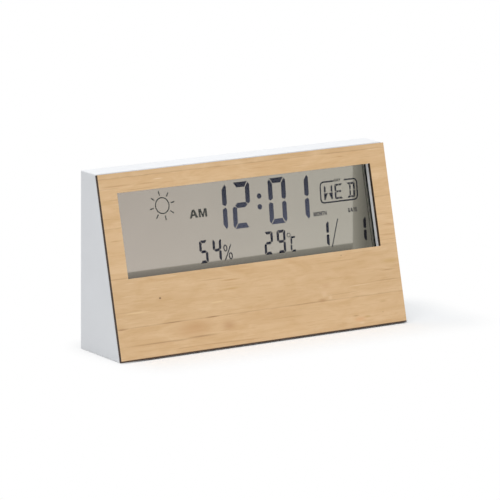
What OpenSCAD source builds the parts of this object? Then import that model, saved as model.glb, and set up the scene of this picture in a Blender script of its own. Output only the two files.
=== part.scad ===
// Desk weather station: a wedge-shaped moulded case with a thin bamboo front,
// a liquid crystal display behind a clear lens, a rear cover with a two-cell
// battery bay and tilting door, and a row of five keys on the back.
// Millimetres. X runs left to right, Y front to back, Z up. The origin is on
// the table, under the middle of the case.

/* [Body] */
// Overall width
body_w = 140; // [130:1:180]
// Overall height
body_h = 73.5; // [72:0.5:100]
// Overall depth at the base
base_d = 31.5; // [31:0.5:38]
// Depth of the flat top
top_d = 12.6; // [12.2:0.1:20]
// Wall of the moulded case
wall = 1.8; // [1.6:0.1:2.1]

/* [Front panel] */
// Thickness of the bamboo
panel_t = 1.5; // [1:0.1:1.7]
// Height of the panel's lower edge over the table
panel_lift = 0.5; // [0.45:0.05:0.8]
// Tape between the bamboo and the case
tape_t = 0.15; // [0.1:0.05:0.3]
// How far the tape stops short of the panel's edges
tape_inset = 1; // [0.5:0.5:3]

/* [Window] */
// Bamboo left and right of the window
side_margin = 8.1; // [8:0.1:14]
// Bamboo over the window
top_margin = 8; // [7.6:0.1:12]
// Bamboo under the window
chin_h = 32.8; // [32.4:0.1:38]
// Case opening beyond the bamboo's, per side
window_step = 0.15; // [0:0.05:0.3]

/* [Lens and display] */
// Foam tape between the case and the lens
lens_tape_t = 1; // [0.5:0.1:1.1]
// Thickness of the clear lens
lens_t = 1; // [0.8:0.1:1.1]
// Lens beyond the window, left and right
lens_lap_x = 1.2; // [1.1:0.1:1.3]
// Lens beyond the window, up and down
lens_lap_v = 2.6; // [2.5:0.1:2.8]
// Air between the lens and the display
display_air = 0.3; // [0.2:0.05:0.4]
// Thickness of each glass sheet
glass_t = 0.7; // [0.5:0.1:0.8]
// Thickness of each polariser
polariser_t = 0.2; // [0.1:0.05:0.25]
// Height of the rubber contact strips
strip_h = 2.2; // [1.8:0.1:2.4]
// Width of the rubber contact strips
strip_w = 1.6; // [1.2:0.1:2]

/* [Boards] */
// Thickness of the main board
board_t = 1.2; // [0.8:0.1:1.4]
// Gap between the main board and the case's sides
board_gap = 0.4; // [0.3:0.1:0.6]
// Board screws, in from the case's inner side
board_screw_inset = 2; // [1.9:0.1:2.1]
// Thickness of the key board
key_board_t = 1; // [0.8:0.1:1.2]

/* [Rear cover] */
// Thickness of the rear cover
cover_t = 2; // [1.8:0.1:2.4]
// Gap between the cover and the case's rim
cover_gap = 0.2; // [0.1:0.05:0.3]
// Cover screws, left and right of the middle
cover_screw_x = 60; // [45:1:60]
// Cover screws, over the table
cover_screw_z = 7.5; // [6.5:0.5:10]

/* [Battery bay] */
// Diameter of a cell
cell_d = 10.5; // [10:0.1:10.6]
// Length of a cell with its nub
cell_l = 44.5; // [40:0.5:50]
// Compressed length of a contact spring
spring_l = 5.7; // [5:0.1:7]
// Wall of the bay
bay_wall = 1.2; // [1:0.1:1.6]
// Gap between the two cells
cell_gap = 0.6; // [0.4:0.1:0.8]
// Cover left under the bay's opening
bay_lip = 2.8; // [2.6:0.1:4]

/* [Battery door] */
// Thickness of the door
door_t = 1.5; // [1.2:0.1:1.6]
// Gap round the door's edge
door_gap = 0.3; // [0.2:0.05:0.4]
// Door left and right of the cells' opening
door_ledge = 3.4; // [2:0.1:5]
// Height of the door's part over the cells
latch_bay_h = 5.4; // [5.2:0.1:8]
// Width of the snap latch
latch_w = 9; // [6:0.5:14]

/* [Keys] */
// Outermost key's place, as a share of the case's inner half width
key_row_share = 0.38123; // [0.36:0.002:0.4]
// Key row's place, as a share of the height free for it over the door
key_height_share = 0.6714; // [0.5:0.01:0.9]
// Width of a key
key_w = 8; // [7:0.5:9]
// Height of a key
key_h = 4.4; // [4:0.1:5]
// Depth of the trough that the keys sit in
key_trough = 0.8; // [0.6:0.1:1]
// How far a key travels
key_travel = 0.3; // [0.2:0.05:0.4]

/* [Sensor and buzzer] */
// Buzzer's place between the key board's boss and the case's side, as a share
buzzer_at = 0.3628; // [0.3:0.01:0.4]
// Buzzer's diameter, as a share of that room
buzzer_share = 0.5678; // [0.5:0.01:0.6]
// Middle of the buzzer under the top of the case
buzzer_down = 18.5; // [16:0.5:19]
// Vents and sensor, in from the case's side
vent_in = 18.2; // [16:0.2:22]
// Middle of the vents under the top of the case
vent_down = 18.5; // [16:0.5:19]
// Number of vents
vent_count = 6; // [3:1:8]

/* [Hidden] */

// How far a cut runs past the face that it opens
over = 1;
// Smoothness of round shapes
fine = 48;

// The wedge: where its planes lie
y_back = base_d / 2;
y_front = -base_d / 2;
edge_r = 0.4;
tilt = atan2(base_d - top_d, body_h - panel_lift);
panel_l = norm([base_d - top_d, body_h - panel_lift]);
inner_x = body_w / 2 - wall;

// Depths behind the bamboo's face, square to it
case_face = panel_t + tape_t;
case_back = case_face + wall;
lens_face = case_back + lens_tape_t;
lens_back = lens_face + lens_t;
polariser_face = lens_back + display_air;
front_glass_face = polariser_face + polariser_t;
rear_glass_face = front_glass_face + glass_t;
reflector_face = rear_glass_face + glass_t;
board_face = rear_glass_face + strip_h;
board_back = board_face + board_t;

// The window, in the panel's own plane: v runs up the slope
window_w = body_w - 2 * side_margin;
window_v0 = chin_h;
window_v1 = panel_l - top_margin;
lens_w = window_w + 2 * lens_lap_x;
lens_v0 = window_v0 - lens_lap_v;
lens_v1 = window_v1 + lens_lap_v;
// Front glass, inside the lens's outline
glass_inset = 0.2;
glass_w = window_w + 2 * (lens_lap_x - glass_inset);
glass_v0 = window_v0 - lens_lap_v + glass_inset;
glass_v1 = window_v1 + lens_lap_v - glass_inset;
// Rear glass, short of the front one to leave its contact ledges
strip_edge = 0.15;
ledge_w = strip_w + 2 * strip_edge;
// Frame that holds the display
frame_fit = 0.15;
frame_bar = 1.6;
frame_lap = 0.8;
polariser_inset = 0.95;
reflector_inset = 0.3;
strip_end = 1;
frame_x = inner_x - board_gap;
frame_v0 = glass_v0 - frame_bar;
frame_v1 = glass_v1 + frame_bar;
// Board screws
board_screw_x = inner_x - board_screw_inset;
board_screw_v_inset = 4;
board_screw_vs = [
  frame_v0 + board_screw_v_inset,
  (frame_v0 + frame_v1) / 2,
  frame_v1 - board_screw_v_inset
];
board_boss_d = 4.4;
board_screw_l = 5.5;

// Screws
screw_d = 1.6;
screw_slip = 0.3;
thread_slack = 0.04;
screw_head_d = 3.2;
screw_head_h = 1.1;
screw_cross_w = 0.5;
screw_cross_l = 2.2;
screw_cross_depth = 0.6;
screw_tip_l = 1.2;
cover_screw_d = 2.2;
cover_head_d = 4.2;
cover_screw_l = 9;
cover_boss_d = 6;
cover_pilot_l = 12;
cover_head_sink = 1.1;
boss_rib_t = 1.2;

// Rear cover
cover_face = y_back;
cover_inner = y_back - cover_t;
cover_x = inner_x - cover_gap;
cover_z0 = wall + cover_gap;
cover_z1 = body_h - wall - cover_gap;
// Hooks along the cover's upper edge, and the bars that they catch
hook_count = 3;
hook_pitch = 46;
hook_w = 10;
hook_t = 1;
hook_rise = 0.9;
hook_bar_t = 1;
hook_bar_drop = 1.2;
hook_bar_back = 1.55;
hook_fit = 0.15;
hook_xs = [for (i = [0:hook_count - 1]) (i - (hook_count - 1) / 2) * hook_pitch];
hook_bar_side = 2;
hook_bar_w = hook_w + 2 * hook_bar_side;
hook_bar_y = cover_inner - hook_bar_back;
hook_bar_z = body_h - wall - hook_bar_drop;
hook_z = hook_bar_z - hook_fit;
hook_y = hook_bar_y - hook_fit - hook_t;
// Rests on the case's sides, which stop the cover
rest_l = 3;
rest_w = 1.5;
rest_h = 8;
rest_low_z = 18;
rest_high_z = 54;

// Battery bay
cell_r = cell_d / 2;
cell_fit = 0.5;
cell_floor_fit = 0.2;
plate_t = 0.4;
bump_h = 1;
bay_l = cell_l + spring_l + bump_h + 2 * plate_t;
bay_x = bay_l / 2;
bay_z0 = cover_z0 + bay_lip;
cell_low_z = bay_z0 + cell_fit + cell_r;
cell_high_z = cell_low_z + cell_d + cell_gap;
bay_z1 = cell_high_z + cell_r + cell_fit;
pocket_play = 0.1;
pocket_d = door_t + pocket_play;
cell_y = y_back - pocket_d - cell_floor_fit - cell_r;
bay_floor = cell_y - cell_r - cell_floor_fit;
bay_out = bay_floor - bay_wall;
bay_cut_in = 2.2;
bay_cut_out = 2.8;
pocket_y = y_back - pocket_d;
cradle_t = 1.5;
cradle_h = 3.2;
cradle_x = 13;
cradle_fit = 0.15;
// Battery door and its hooks
door_x = bay_x + door_ledge;
door_z1 = bay_z1 + latch_bay_h;
tab_w = 6;
tab_x = 18;
tab_t = 1;
tab_reach = 1.8;
tab_root = 1;
tab_play = 0.2;
tab_y = cover_inner - tab_play - tab_t;
tab_hole = tab_w / 2 + tab_play;
tab_swing = 0.6;
tab_sweep_y = tab_y - tab_swing;
// Pocket that the fingertip presses into
scoop_w = 14;
scoop_h = 4.5;
scoop_depth = 0.9;
groove_count = 4;
groove_w = 0.8;
groove_l = 20;
groove_depth = 0.4;
groove_pitch = 1.8;
groove_drop = 2.2;
// Snap latch: a folded leaf with a nose that catches behind the cover
leaf_t = 0.9;
leaf_gap = 1.1;
leaf_depth = 5.2;
leaf_drop = 0.4;
nose_h = 1.3;
nose_flat = 0.4;
nose_l = 1.8;
nose_play = 0.15;
pad_h = 1.2;
pad_drop = 0.4;
latch_side = 0.3;
latch_hole = latch_w / 2 + latch_side;
leaf_top = door_z1 - door_gap - leaf_drop;
leaf_z0 = leaf_top - 2 * leaf_t - leaf_gap;

// Battery contacts
plate_w = 8.6;
plate_play = 0.1;
plate_lip = 0.6;
plate_lip_t = 1;
plate_lips = [
  [bay_z0 - bay_wall / 2, cell_low_z - plate_w / 2 + plate_lip],
  [cell_low_z + plate_w / 2 - plate_lip, cell_high_z - plate_w / 2 + plate_lip],
  [cell_high_z + plate_w / 2 - plate_lip, bay_z1 + bay_wall / 2]
];
bump_d = 4.5;
bump_top_d = 3;
solder_tab_w = 2.6;
solder_tab_l = 2.4;
solder_slot = 0.2;
nub_d = 3.8;
nub_h = 1;
cell_edge = 0.5;
coil_wire = 0.5;
coil_turns = 4;
coil_base_r = 3.2;
coil_tip_r = 2.2;
coil_rings_per_turn = 8;
coil_sides = 6;

// Keys and switches
key_names = ["mode", "set", "up", "down", "unit"];
key_count = len(key_names);
key_slack = 0.25;
key_sink = 0.1;
key_flange = 0.9;
key_flange_t = 1;
key_play = 0.2;
trough_side = 2.4;
trough_end = 3;
switch_w = 6;
switch_h = 2.6;
plunger_d = 3.4;
plunger_slip = 0.1;
plunger_out = 0.7;
plunger_in = 0.5;
well_spare = 0.3;
switch_well = plunger_in + key_travel + well_spare;
key_inner = cover_inner - key_play - key_flange_t;
switch_top = key_inner - plunger_out;
key_board_face = switch_top - switch_h;
key_board_back = key_board_face - key_board_t;
key_board_h = 8.6;
key_boss_out = 10.5;
key_boss_d = 4.6;
key_board_end = 3;
key_screw_l = 4.5;
key_row_x = key_row_share * inner_x;
key_pitch = 2 * key_row_x / (key_count - 1);
key_boss_x = key_row_x + key_boss_out;
key_board_x = key_boss_x + key_board_end;
// Lowest and highest place of the row: clear of the bay, and of the main board
key_clear = 0.2;
key_z_low = door_z1 + bay_wall + key_h / 2 + key_flange + key_clear;
key_z_high = panel_lift - key_board_h / 2
  + (key_board_back - key_clear - y_front - board_back / cos(tilt)) / tan(tilt);
key_z = key_z_low + key_height_share * (key_z_high - key_z_low);

// Sensor, vents and buzzer
buzzer_room = inner_x - key_boss_x;
buzzer_x = key_boss_x + buzzer_at * buzzer_room;
buzzer_z = body_h - buzzer_down;
buzzer_d = buzzer_share * buzzer_room;
vent_x = inner_x - vent_in;
vent_z = body_h - vent_down;
vent_w = 1.2;
vent_h = 9;
vent_pitch = 2.4;
sensor_w = 9;
sensor_l = 8;
sensor_t = 2.4;
sensor_slot_w = 0.8;
sensor_slot_l = 5.6;
sensor_slots = 4;
sensor_slot_depth = 0.6;
thermistor_d = 1.8;
thermistor_lead_d = 0.4;
thermistor_lead_l = 3;
thermistor_beside = 3;
sound_hole_d = 1.5;
sound_ring_r = 3.2;
sound_ring_count = 6;
buzzer_t = 0.3;
ceramic_d = 12;
ceramic_t = 0.25;
buzzer_ring_t = 1.2;
buzzer_ring_h = 1.5;
buzzer_seat_w = 1;
buzzer_seat_h = 0.8;
buzzer_fit = 0.15;
plate_back = cover_inner - buzzer_seat_h;

// Parts on the main board
blob_d = 13;
blob_h = 1.5;
blob_x = 8;
blob_v_over = 13;
crystal_d = 2;
crystal_l = 6;
crystal_x = 22;
capacitor_d = 4;
capacitor_h = 2.2;
capacitor_v_over = 5;
// Room beside the bay, and the places in it as shares
side_room = inner_x - bay_x;
capacitor_xs = [
  -bay_x - 0.777 * side_room, -bay_x - 0.578 * side_room, bay_x + 0.578 * side_room
];

// Leads and ribbon
lead_d = 1;
lead_sides = 8;
lead_rings = 22;
lead_stub = 0.6;
lead_run = [0.355 * side_room, 0.474 * side_room];
lead_up = [7, 4];
battery_lead_arm = 9;
buzzer_lead_in = [3.5, 6];
buzzer_lead_up = [-2, 5];
buzzer_lead_run = 14;
buzzer_lead_arm = 2.4;
ribbon_w = 9;
ribbon_t = 0.6;
ribbon_x = -24;
ribbon_over_door = 1.5;
ribbon_end_under = 2.5;
ribbon_stub = 0.7;
ribbon_arm = 3;
ribbon_steps = 14;

bamboo_colour = "#d9b68c";
case_colour = "#f2f3f5";
dark_colour = "#2b2b2c";
board_colour = "#2f6b45";
metal_colour = "#c9ccd0";

// Depth (Y) of the plane that lies d behind the bamboo's face, at height z
function front_y(d, z) =
  y_front + (z - panel_lift) * tan(tilt) + d / cos(tilt);

// World point of a place in the panel's plane: x, v up the slope, d behind it
function on_slope(x, v, d) = [
  x,
  y_front + v * sin(tilt) + d * cos(tilt),
  panel_lift + v * cos(tilt) - d * sin(tilt)
];

// Puts children drawn in the panel's plane (x, v, outward) on the slope
module slope() {
  translate([0, y_front, panel_lift])
    rotate([90 - tilt, 0, 0])
      children();
}

// Extrudes a side view (y, z) across the case, centred
module across(w) {
  rotate([90, 0, 90])
    linear_extrude(height = w, center = true)
      children();
}

// A plate in the panel's plane, from depth d0 to d1
module slope_plate(w, v0, v1, d0, d1) {
  slope()
    translate([-w / 2, v0, -d1])
      cube([w, v1 - v0, d1 - d0]);
}

// A block from its lowest to its highest corner
module block(low, high) {
  translate(low)
    cube(high - low);
}

// A rod along +Y, from y0 to y1
module rod_y(x, z, y0, y1, d) {
  translate([x, y0, z])
    rotate([-90, 0, 0])
      cylinder(h = y1 - y0, d = d, $fn = fine);
}

// A rod square to the panel, from depth d0 to d1
module rod_slope(x, v, d0, d1, d) {
  slope()
    translate([x, v, -d1])
      cylinder(h = d1 - d0, d = d, $fn = fine);
}

// Cross-recessed screw, head up along +Z, its seat at the origin
module screw(shank_d, head_d, head_h, l) {
  difference() {
    cylinder(h = head_h, d = head_d, $fn = fine);
    for (turn = [0, 90])
      rotate([0, 0, turn])
        translate([-screw_cross_l / 2, -screw_cross_w / 2, head_h - screw_cross_depth])
          cube([screw_cross_l, screw_cross_w, screw_cross_depth + over]);
  }
  translate([0, 0, screw_tip_l - l])
    cylinder(h = l - screw_tip_l, d = shank_d, $fn = fine);
  translate([0, 0, -l])
    cylinder(h = screw_tip_l, d1 = shank_d / 2, d2 = shank_d, $fn = fine);
}

// Outline with half-round ends, lying along X
module stadium(w, h) {
  square([w - h, h], center = true);
  for (side = [-1, 1])
    translate([side * (w - h) / 2, 0])
      circle(d = h, $fn = fine);
}

// A stadium-shaped peg along +Y at x, z, from y0 to y1
module stadium_y(x, z, y0, y1, w, h) {
  translate([x, y1, z])
    rotate([90, 0, 0])
      linear_extrude(height = y1 - y0)
        stadium(w, h);
}

// A smooth run from a to d, leaving along b and arriving along c
function curve(a, b, c, d, n) = [
  for (i = [0:n])
    let (t = i / n, s = 1 - t)
      s * s * s * a + 3 * s * s * t * b + 3 * s * t * t * c + t * t * t * d
];

// Direction of a run of points at point i
function along(p, i) =
  let (last = len(p) - 1, step = p[min(i + 1, last)] - p[max(i - 1, 0)])
    step / norm(step);

// Side vectors that follow the run without twisting
function sideways(p, i, before) =
  let (t = along(p, i), s = before - (before * t) * t)
    s / norm(s);
function side_list(p, first, i = 0, made = []) =
  i == len(p) ? made :
  let (s = sideways(p, i, i == 0 ? first : made[i - 1]))
    side_list(p, first, i + 1, concat(made, [s]));

// A round tube along points p; side is any direction across the first one
module tube(p, d, sides, side) {
  n = len(p);
  us = side_list(p, side);
  points = [
    for (i = [0:n - 1], k = [0:sides - 1])
      let (u = us[i], w = cross(along(p, i), u), a = 360 * k / sides)
        p[i] + d / 2 * (cos(a) * u + sin(a) * w)
  ];
  wall_faces = [
    for (i = [0:n - 2], k = [0:sides - 1], half = [0, 1])
      let (a = i * sides + k, b = i * sides + (k + 1) % sides)
        half == 0 ? [b, a, a + sides] : [b, a + sides, b + sides]
  ];
  first_cap = [for (k = [1:sides - 2]) [0, k, k + 1]];
  last_cap = [
    for (k = [1:sides - 2])
      let (z = (n - 1) * sides)
        [z, z + k + 1, z + k]
  ];
  polyhedron(points = points, faces = concat(wall_faces, first_cap, last_cap));
}

// Points of an arc in a side view
function arc(c, r, from, to, n = 6) = [
  for (i = [0:n])
    let (a = from + (to - from) * i / n)
      c + r * [cos(a), sin(a)]
];

// Side view of the case, its front on the plane d behind the bamboo's face
// and its other faces moved in by the inset; its lower rear edge is chamfered
module case_profile(d, inset, back, r) {
  low = inset;
  high = body_h - inset;
  polygon(concat(
    [[front_y(d, low), low], [front_y(d, high), high]],
    arc([back - r, high - r], r, 90, 0),
    [[back, low + r], [back - r, low]]
  ));
}

// Plan of the case, its rear corners rounded
module rear_rounded(w, front, back, r) {
  polygon(concat(
    [[-w / 2, front]],
    arc([-w / 2 + r, back - r], r, 180, 90),
    arc([w / 2 - r, back - r], r, 90, 0),
    [[w / 2, front]]
  ));
}

// Front view of the case, its upper corners rounded and its lower ones chamfered
module front_outline(w, low, high, r) {
  polygon(concat(
    [[-w / 2 + r, low], [-w / 2, low + r]],
    arc([-w / 2 + r, high - r], r, 180, 90),
    arc([w / 2 - r, high - r], r, 90, 0),
    [[w / 2, low + r], [w / 2 - r, low]]
  ));
}

module housing() {
  color(case_colour)
    difference() {
      union() {
        difference() {
          intersection() {
            across(body_w)
              case_profile(case_face, 0, y_back, edge_r);
            linear_extrude(height = body_h)
              rear_rounded(body_w, y_front, y_back, edge_r);
            rotate([90, 0, 0])
              linear_extrude(height = 2 * base_d, center = true)
                front_outline(body_w, 0, body_h, edge_r);
          }
          across(2 * inner_x)
            polygon([
              [front_y(case_back, wall), wall],
              [front_y(case_back, body_h - wall), body_h - wall],
              [y_back + over, body_h - wall],
              [y_back + over, wall]
            ]);
        }
        intersection() {
          across(2 * inner_x + wall)
            case_profile(case_face + wall / 2, wall / 2, y_back, edge_r);
          housing_insides();
        }
      }
      slope_plate(window_w + 2 * window_step, window_v0 - window_step,
        window_v1 + window_step, case_face - over, case_back + over);
      for (side = [-1, 1], v = board_screw_vs)
        rod_slope(side * board_screw_x, v, case_back, board_face + over,
          screw_d + thread_slack);
      for (side = [-1, 1])
        rod_y(side * cover_screw_x, cover_screw_z, cover_inner - cover_pilot_l,
          cover_inner + over, cover_screw_d + thread_slack);
    }
}

// Bosses, posts, rests and hook bars inside the case
module housing_insides() {
  for (side = [-1, 1], v = board_screw_vs)
    rod_slope(side * board_screw_x, v, case_face, board_face, board_boss_d);
  for (side = [-1, 1]) {
    rod_y(side * cover_screw_x, cover_screw_z, y_front, cover_inner, cover_boss_d);
    translate([side * cover_screw_x, 0, 0])
      block([-boss_rib_t / 2, y_front, 0], [boss_rib_t / 2, cover_inner, cover_screw_z]);
    for (z = [rest_low_z, rest_high_z])
      translate([side * inner_x, 0, z])
        block([-rest_w, cover_inner - rest_l, -rest_h / 2], [rest_w, cover_inner, rest_h / 2]);
  }
  for (x = hook_xs)
    block([x - hook_bar_w / 2, hook_bar_y, hook_bar_z],
      [x + hook_bar_w / 2, hook_bar_y + hook_bar_t, body_h]);
}

module front_panel() {
  color(bamboo_colour)
    difference() {
      slope_plate(body_w, 0, panel_l, 0, panel_t);
      slope_plate(window_w, window_v0, window_v1, -over, panel_t + over);
    }
}

module panel_tape() {
  color(dark_colour)
    difference() {
      slope_plate(body_w - 2 * tape_inset, tape_inset, panel_l - tape_inset,
        panel_t, case_face);
      slope_plate(window_w + 2 * tape_inset, window_v0 - tape_inset,
        window_v1 + tape_inset, panel_t - over, case_face + over);
    }
}

module lens_tape() {
  color(dark_colour)
    difference() {
      slope_plate(lens_w, lens_v0, lens_v1, case_back, lens_face);
      slope_plate(window_w + 2 * window_step, window_v0 - window_step,
        window_v1 + window_step, case_back - over, lens_face + over);
    }
}

module lens() {
  color("#e8eef0")
    slope_plate(lens_w, lens_v0, lens_v1, lens_face, lens_back);
}

module front_polariser() {
  color("#9aa095")
    slope_plate(glass_w - 2 * polariser_inset, glass_v0 + polariser_inset,
      glass_v1 - polariser_inset, polariser_face, front_glass_face);
}

module front_glass() {
  color("#dfe8e4")
    slope_plate(glass_w, glass_v0, glass_v1, front_glass_face, rear_glass_face);
}

module rear_glass() {
  color("#dfe8e4")
    slope_plate(glass_w, glass_v0 + ledge_w, glass_v1 - ledge_w,
      rear_glass_face, reflector_face);
}

module reflector() {
  color("#8f968c")
    slope_plate(glass_w - 2 * reflector_inset, glass_v0 + ledge_w + reflector_inset,
      glass_v1 - ledge_w - reflector_inset, reflector_face, reflector_face + polariser_t);
}

module lcd_frame() {
  color(dark_colour)
    difference() {
      slope_plate(2 * frame_x, frame_v0, frame_v1, case_back, board_face);
      slope_plate(lens_w + 2 * frame_fit, lens_v0 - frame_fit, lens_v1 + frame_fit,
        case_back - over, lens_back);
      slope_plate(glass_w - 2 * frame_lap, glass_v0 + frame_lap, glass_v1 - frame_lap,
        lens_back - over, front_glass_face + over);
      slope_plate(glass_w + 2 * frame_fit, glass_v0 - frame_fit, glass_v1 + frame_fit,
        front_glass_face, board_face + over);
      for (side = [-1, 1], v = board_screw_vs)
        rod_slope(side * board_screw_x, v, case_back - over, board_face + over,
          board_boss_d + 2 * frame_fit);
    }
}

module contact_strips() {
  color("#c56f86")
    for (v = [glass_v0 + strip_edge, glass_v1 - strip_edge - strip_w])
      slope_plate(glass_w - 2 * strip_end, v, v + strip_w, rear_glass_face, board_face);
}

module main_board() {
  color(board_colour)
    difference() {
      slope_plate(2 * frame_x, frame_v0, frame_v1, board_face, board_back);
      for (side = [-1, 1], v = board_screw_vs)
        rod_slope(side * board_screw_x, v, board_face - over, board_back + over,
          screw_d + screw_slip);
    }
}

// Drop of black resin over the processor chip
module processor_cap() {
  r = blob_d / 2;
  ball_r = (r * r + blob_h * blob_h) / (2 * blob_h);
  color(dark_colour)
    slope()
      translate([blob_x, frame_v0 + blob_v_over, -board_back])
        intersection() {
          translate([0, 0, ball_r - blob_h])
            sphere(r = ball_r, $fn = 2 * fine);
          translate([-blob_d, -blob_d, -blob_d])
            cube([2 * blob_d, 2 * blob_d, blob_d]);
        }
}

module crystal() {
  color(metal_colour)
    slope()
      translate([crystal_x, frame_v0 + blob_v_over, -board_back - crystal_d / 2])
        rotate([0, 90, 0])
          cylinder(h = crystal_l, d = crystal_d, center = true, $fn = fine);
}

module board_capacitors() {
  color("#3a4f8c")
    for (x = capacitor_xs)
      rod_slope(x, frame_v0 + capacitor_v_over, board_back,
        board_back + capacitor_h, capacitor_d);
}

// Place up the slope, on the back of the main board, that lies at height z
function board_v(z) = (z - panel_lift + board_back * sin(tilt)) / cos(tilt);

module humidity_sensor() {
  color("#f4f4f0")
    slope()
      translate([-vent_x, board_v(vent_z), -board_back - sensor_t])
        difference() {
          translate([-sensor_w / 2, -sensor_l / 2, 0])
            cube([sensor_w, sensor_l, sensor_t]);
          for (i = [0:sensor_slots - 1])
            translate([
              (i - (sensor_slots - 1) / 2) * 2 * sensor_slot_w - sensor_slot_w / 2,
              -sensor_slot_l / 2,
              -over
            ])
              cube([sensor_slot_w, sensor_slot_l, sensor_slot_depth + over]);
        }
}

// Bead on two wires, standing off the main board
module thermistor() {
  color("#20242c")
    slope()
      translate([-vent_x + sensor_w / 2 + thermistor_beside, board_v(vent_z), -board_back]) {
        for (side = [-1, 1])
          translate([side * thermistor_lead_d, 0, -thermistor_lead_l])
            cylinder(h = thermistor_lead_l, d = thermistor_lead_d, $fn = fine);
        translate([0, 0, -thermistor_lead_l])
          sphere(d = thermistor_d, $fn = fine);
      }
}

module board_screws() {
  color(metal_colour)
    for (side = [-1, 1], v = board_screw_vs)
      slope()
        translate([side * board_screw_x, v, -board_back])
          rotate([180, 0, 0])
            screw(screw_d, screw_head_d, screw_head_h, board_screw_l);
}

module key_board() {
  color(board_colour)
    difference() {
      block([-key_board_x, key_board_back, key_z - key_board_h / 2],
        [key_board_x, key_board_face, key_z + key_board_h / 2]);
      for (side = [-1, 1])
        rod_y(side * key_boss_x, key_z, key_board_back - over, key_board_face + over,
          screw_d + screw_slip);
    }
}

module key_board_screws() {
  color(metal_colour)
    for (side = [-1, 1])
      translate([side * key_boss_x, key_board_back, key_z])
        rotate([90, 0, 0])
          screw(screw_d, screw_head_d, screw_head_h, key_screw_l);
}

// Flat cable from the main board to the key board
module ribbon_cable() {
  v = board_v(door_z1 + ribbon_over_door);
  start = on_slope(0, v, board_back);
  from = [start[1], start[2]];
  out = [cos(tilt), -sin(tilt)];
  to = [key_board_back, key_z - ribbon_end_under];
  back = [-1, 0];
  line = concat(
    [from],
    curve(from + ribbon_stub * out, from + ribbon_arm * out,
      to + ribbon_arm * back, to + ribbon_stub * back, ribbon_steps),
    [to]
  );
  n = len(line);
  left = [for (i = [0:n - 1]) let (t = along(line, i)) line[i] + ribbon_t / 2 * [-t[1], t[0]]];
  right = [for (i = [0:n - 1]) let (t = along(line, i)) line[i] - ribbon_t / 2 * [-t[1], t[0]]];
  color("#b9bcc0")
    translate([ribbon_x, 0, 0])
      across(ribbon_w)
        polygon(concat(left, [for (i = [n - 1:-1:0]) right[i]]));
}

function key_x(i) = (i - (key_count - 1) / 2) * key_pitch;

module switch_bodies() {
  color("#2f3236")
    for (i = [0:key_count - 1])
      translate([key_x(i), 0, key_z])
        difference() {
          block([-switch_w / 2, key_board_face, -switch_w / 2],
            [switch_w / 2, switch_top, switch_w / 2]);
          rod_y(0, 0, switch_top - switch_well, switch_top + over, plunger_d + plunger_slip);
        }
}

module plunger(i) {
  color("#e6e2d6")
    rod_y(key_x(i), key_z, switch_top - plunger_in, key_inner, plunger_d);
}

module mode_plunger() { plunger(0); }
module set_plunger() { plunger(1); }
module up_plunger() { plunger(2); }
module down_plunger() { plunger(3); }
module unit_plunger() { plunger(4); }

// Key with a flange behind the cover
module key(i) {
  color(case_colour) {
    stadium_y(key_x(i), key_z, key_inner + key_flange_t, cover_face - key_sink,
      key_w, key_h);
    stadium_y(key_x(i), key_z, key_inner, key_inner + key_flange_t,
      key_w + 2 * key_flange, key_h + 2 * key_flange);
  }
}

module mode_key() { key(0); }
module set_key() { key(1); }
module up_key() { key(2); }
module down_key() { key(3); }
module unit_key() { key(4); }

// Side view of the battery bay's outside or inside, its upper front corner cut
module bay_profile(front, low, high, back, cut) {
  polygon([
    [front, low], [front, high - cut], [front + cut, high], [back, high], [back, low]
  ]);
}

module rear_cover() {
  color(case_colour)
    difference() {
      union() {
        difference() {
          union() {
            block([-cover_x, cover_inner, cover_z0], [cover_x, cover_face, cover_z1]);
            across(2 * (bay_x + bay_wall))
              bay_profile(bay_out, bay_z0 - bay_wall, bay_z1 + bay_wall, cover_inner + over, bay_cut_out);
            block([-door_x - bay_wall, pocket_y - bay_wall, bay_z0 - bay_wall],
              [door_x + bay_wall, cover_inner + over, door_z1 + bay_wall]);
          }
          across(2 * bay_x)
            bay_profile(bay_floor, bay_z0, bay_z1, cover_face + over, bay_cut_in);
          block([-door_x, pocket_y, bay_z0], [door_x, cover_face + over, door_z1]);
          block([-latch_hole, bay_out, bay_z1 + bay_wall],
            [latch_hole, cover_face + over, door_z1]);
          block([-latch_hole, bay_out, bay_z1 + bay_wall],
            [latch_hole, cover_inner, door_z1 + bay_wall + over]);
          for (side = [-1, 1])
            block([side * tab_x - tab_hole, tab_sweep_y, bay_z0 - bay_wall - over],
              [side * tab_x + tab_hole, cover_inner, bay_z0]);
        }
        bay_insides();
        cover_insides();
      }
      cover_openings();
      for (row = [cell_low_z, cell_high_z])
        block([-bay_x, bay_out - over, row - solder_tab_w / 2 - solder_slot],
          [-bay_x + plate_t + solder_slot, bay_floor + over, row + solder_tab_w / 2 + solder_slot]);
    }
}

// Cradles between the cells and lips that hold the contact plates
module bay_insides() {
  for (x = [-cradle_x, cradle_x])
    difference() {
      block([x - cradle_t / 2, bay_floor - bay_wall / 2, cell_low_z],
        [x + cradle_t / 2, bay_floor + cradle_h, cell_high_z]);
      for (z = [cell_low_z, cell_high_z])
        translate([x - cradle_t, cell_y, z])
          rotate([0, 90, 0])
            cylinder(h = 2 * cradle_t, r = cell_r + cradle_fit, $fn = fine);
    }
  for (end = [-1, 1], z = plate_lips)
    translate([end * (bay_x - plate_t - plate_play - plate_lip_t / 2), 0, 0])
      block([-plate_lip_t / 2, bay_floor - bay_wall / 2, z[0]],
        [plate_lip_t / 2, cell_y, z[1]]);
}

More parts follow.
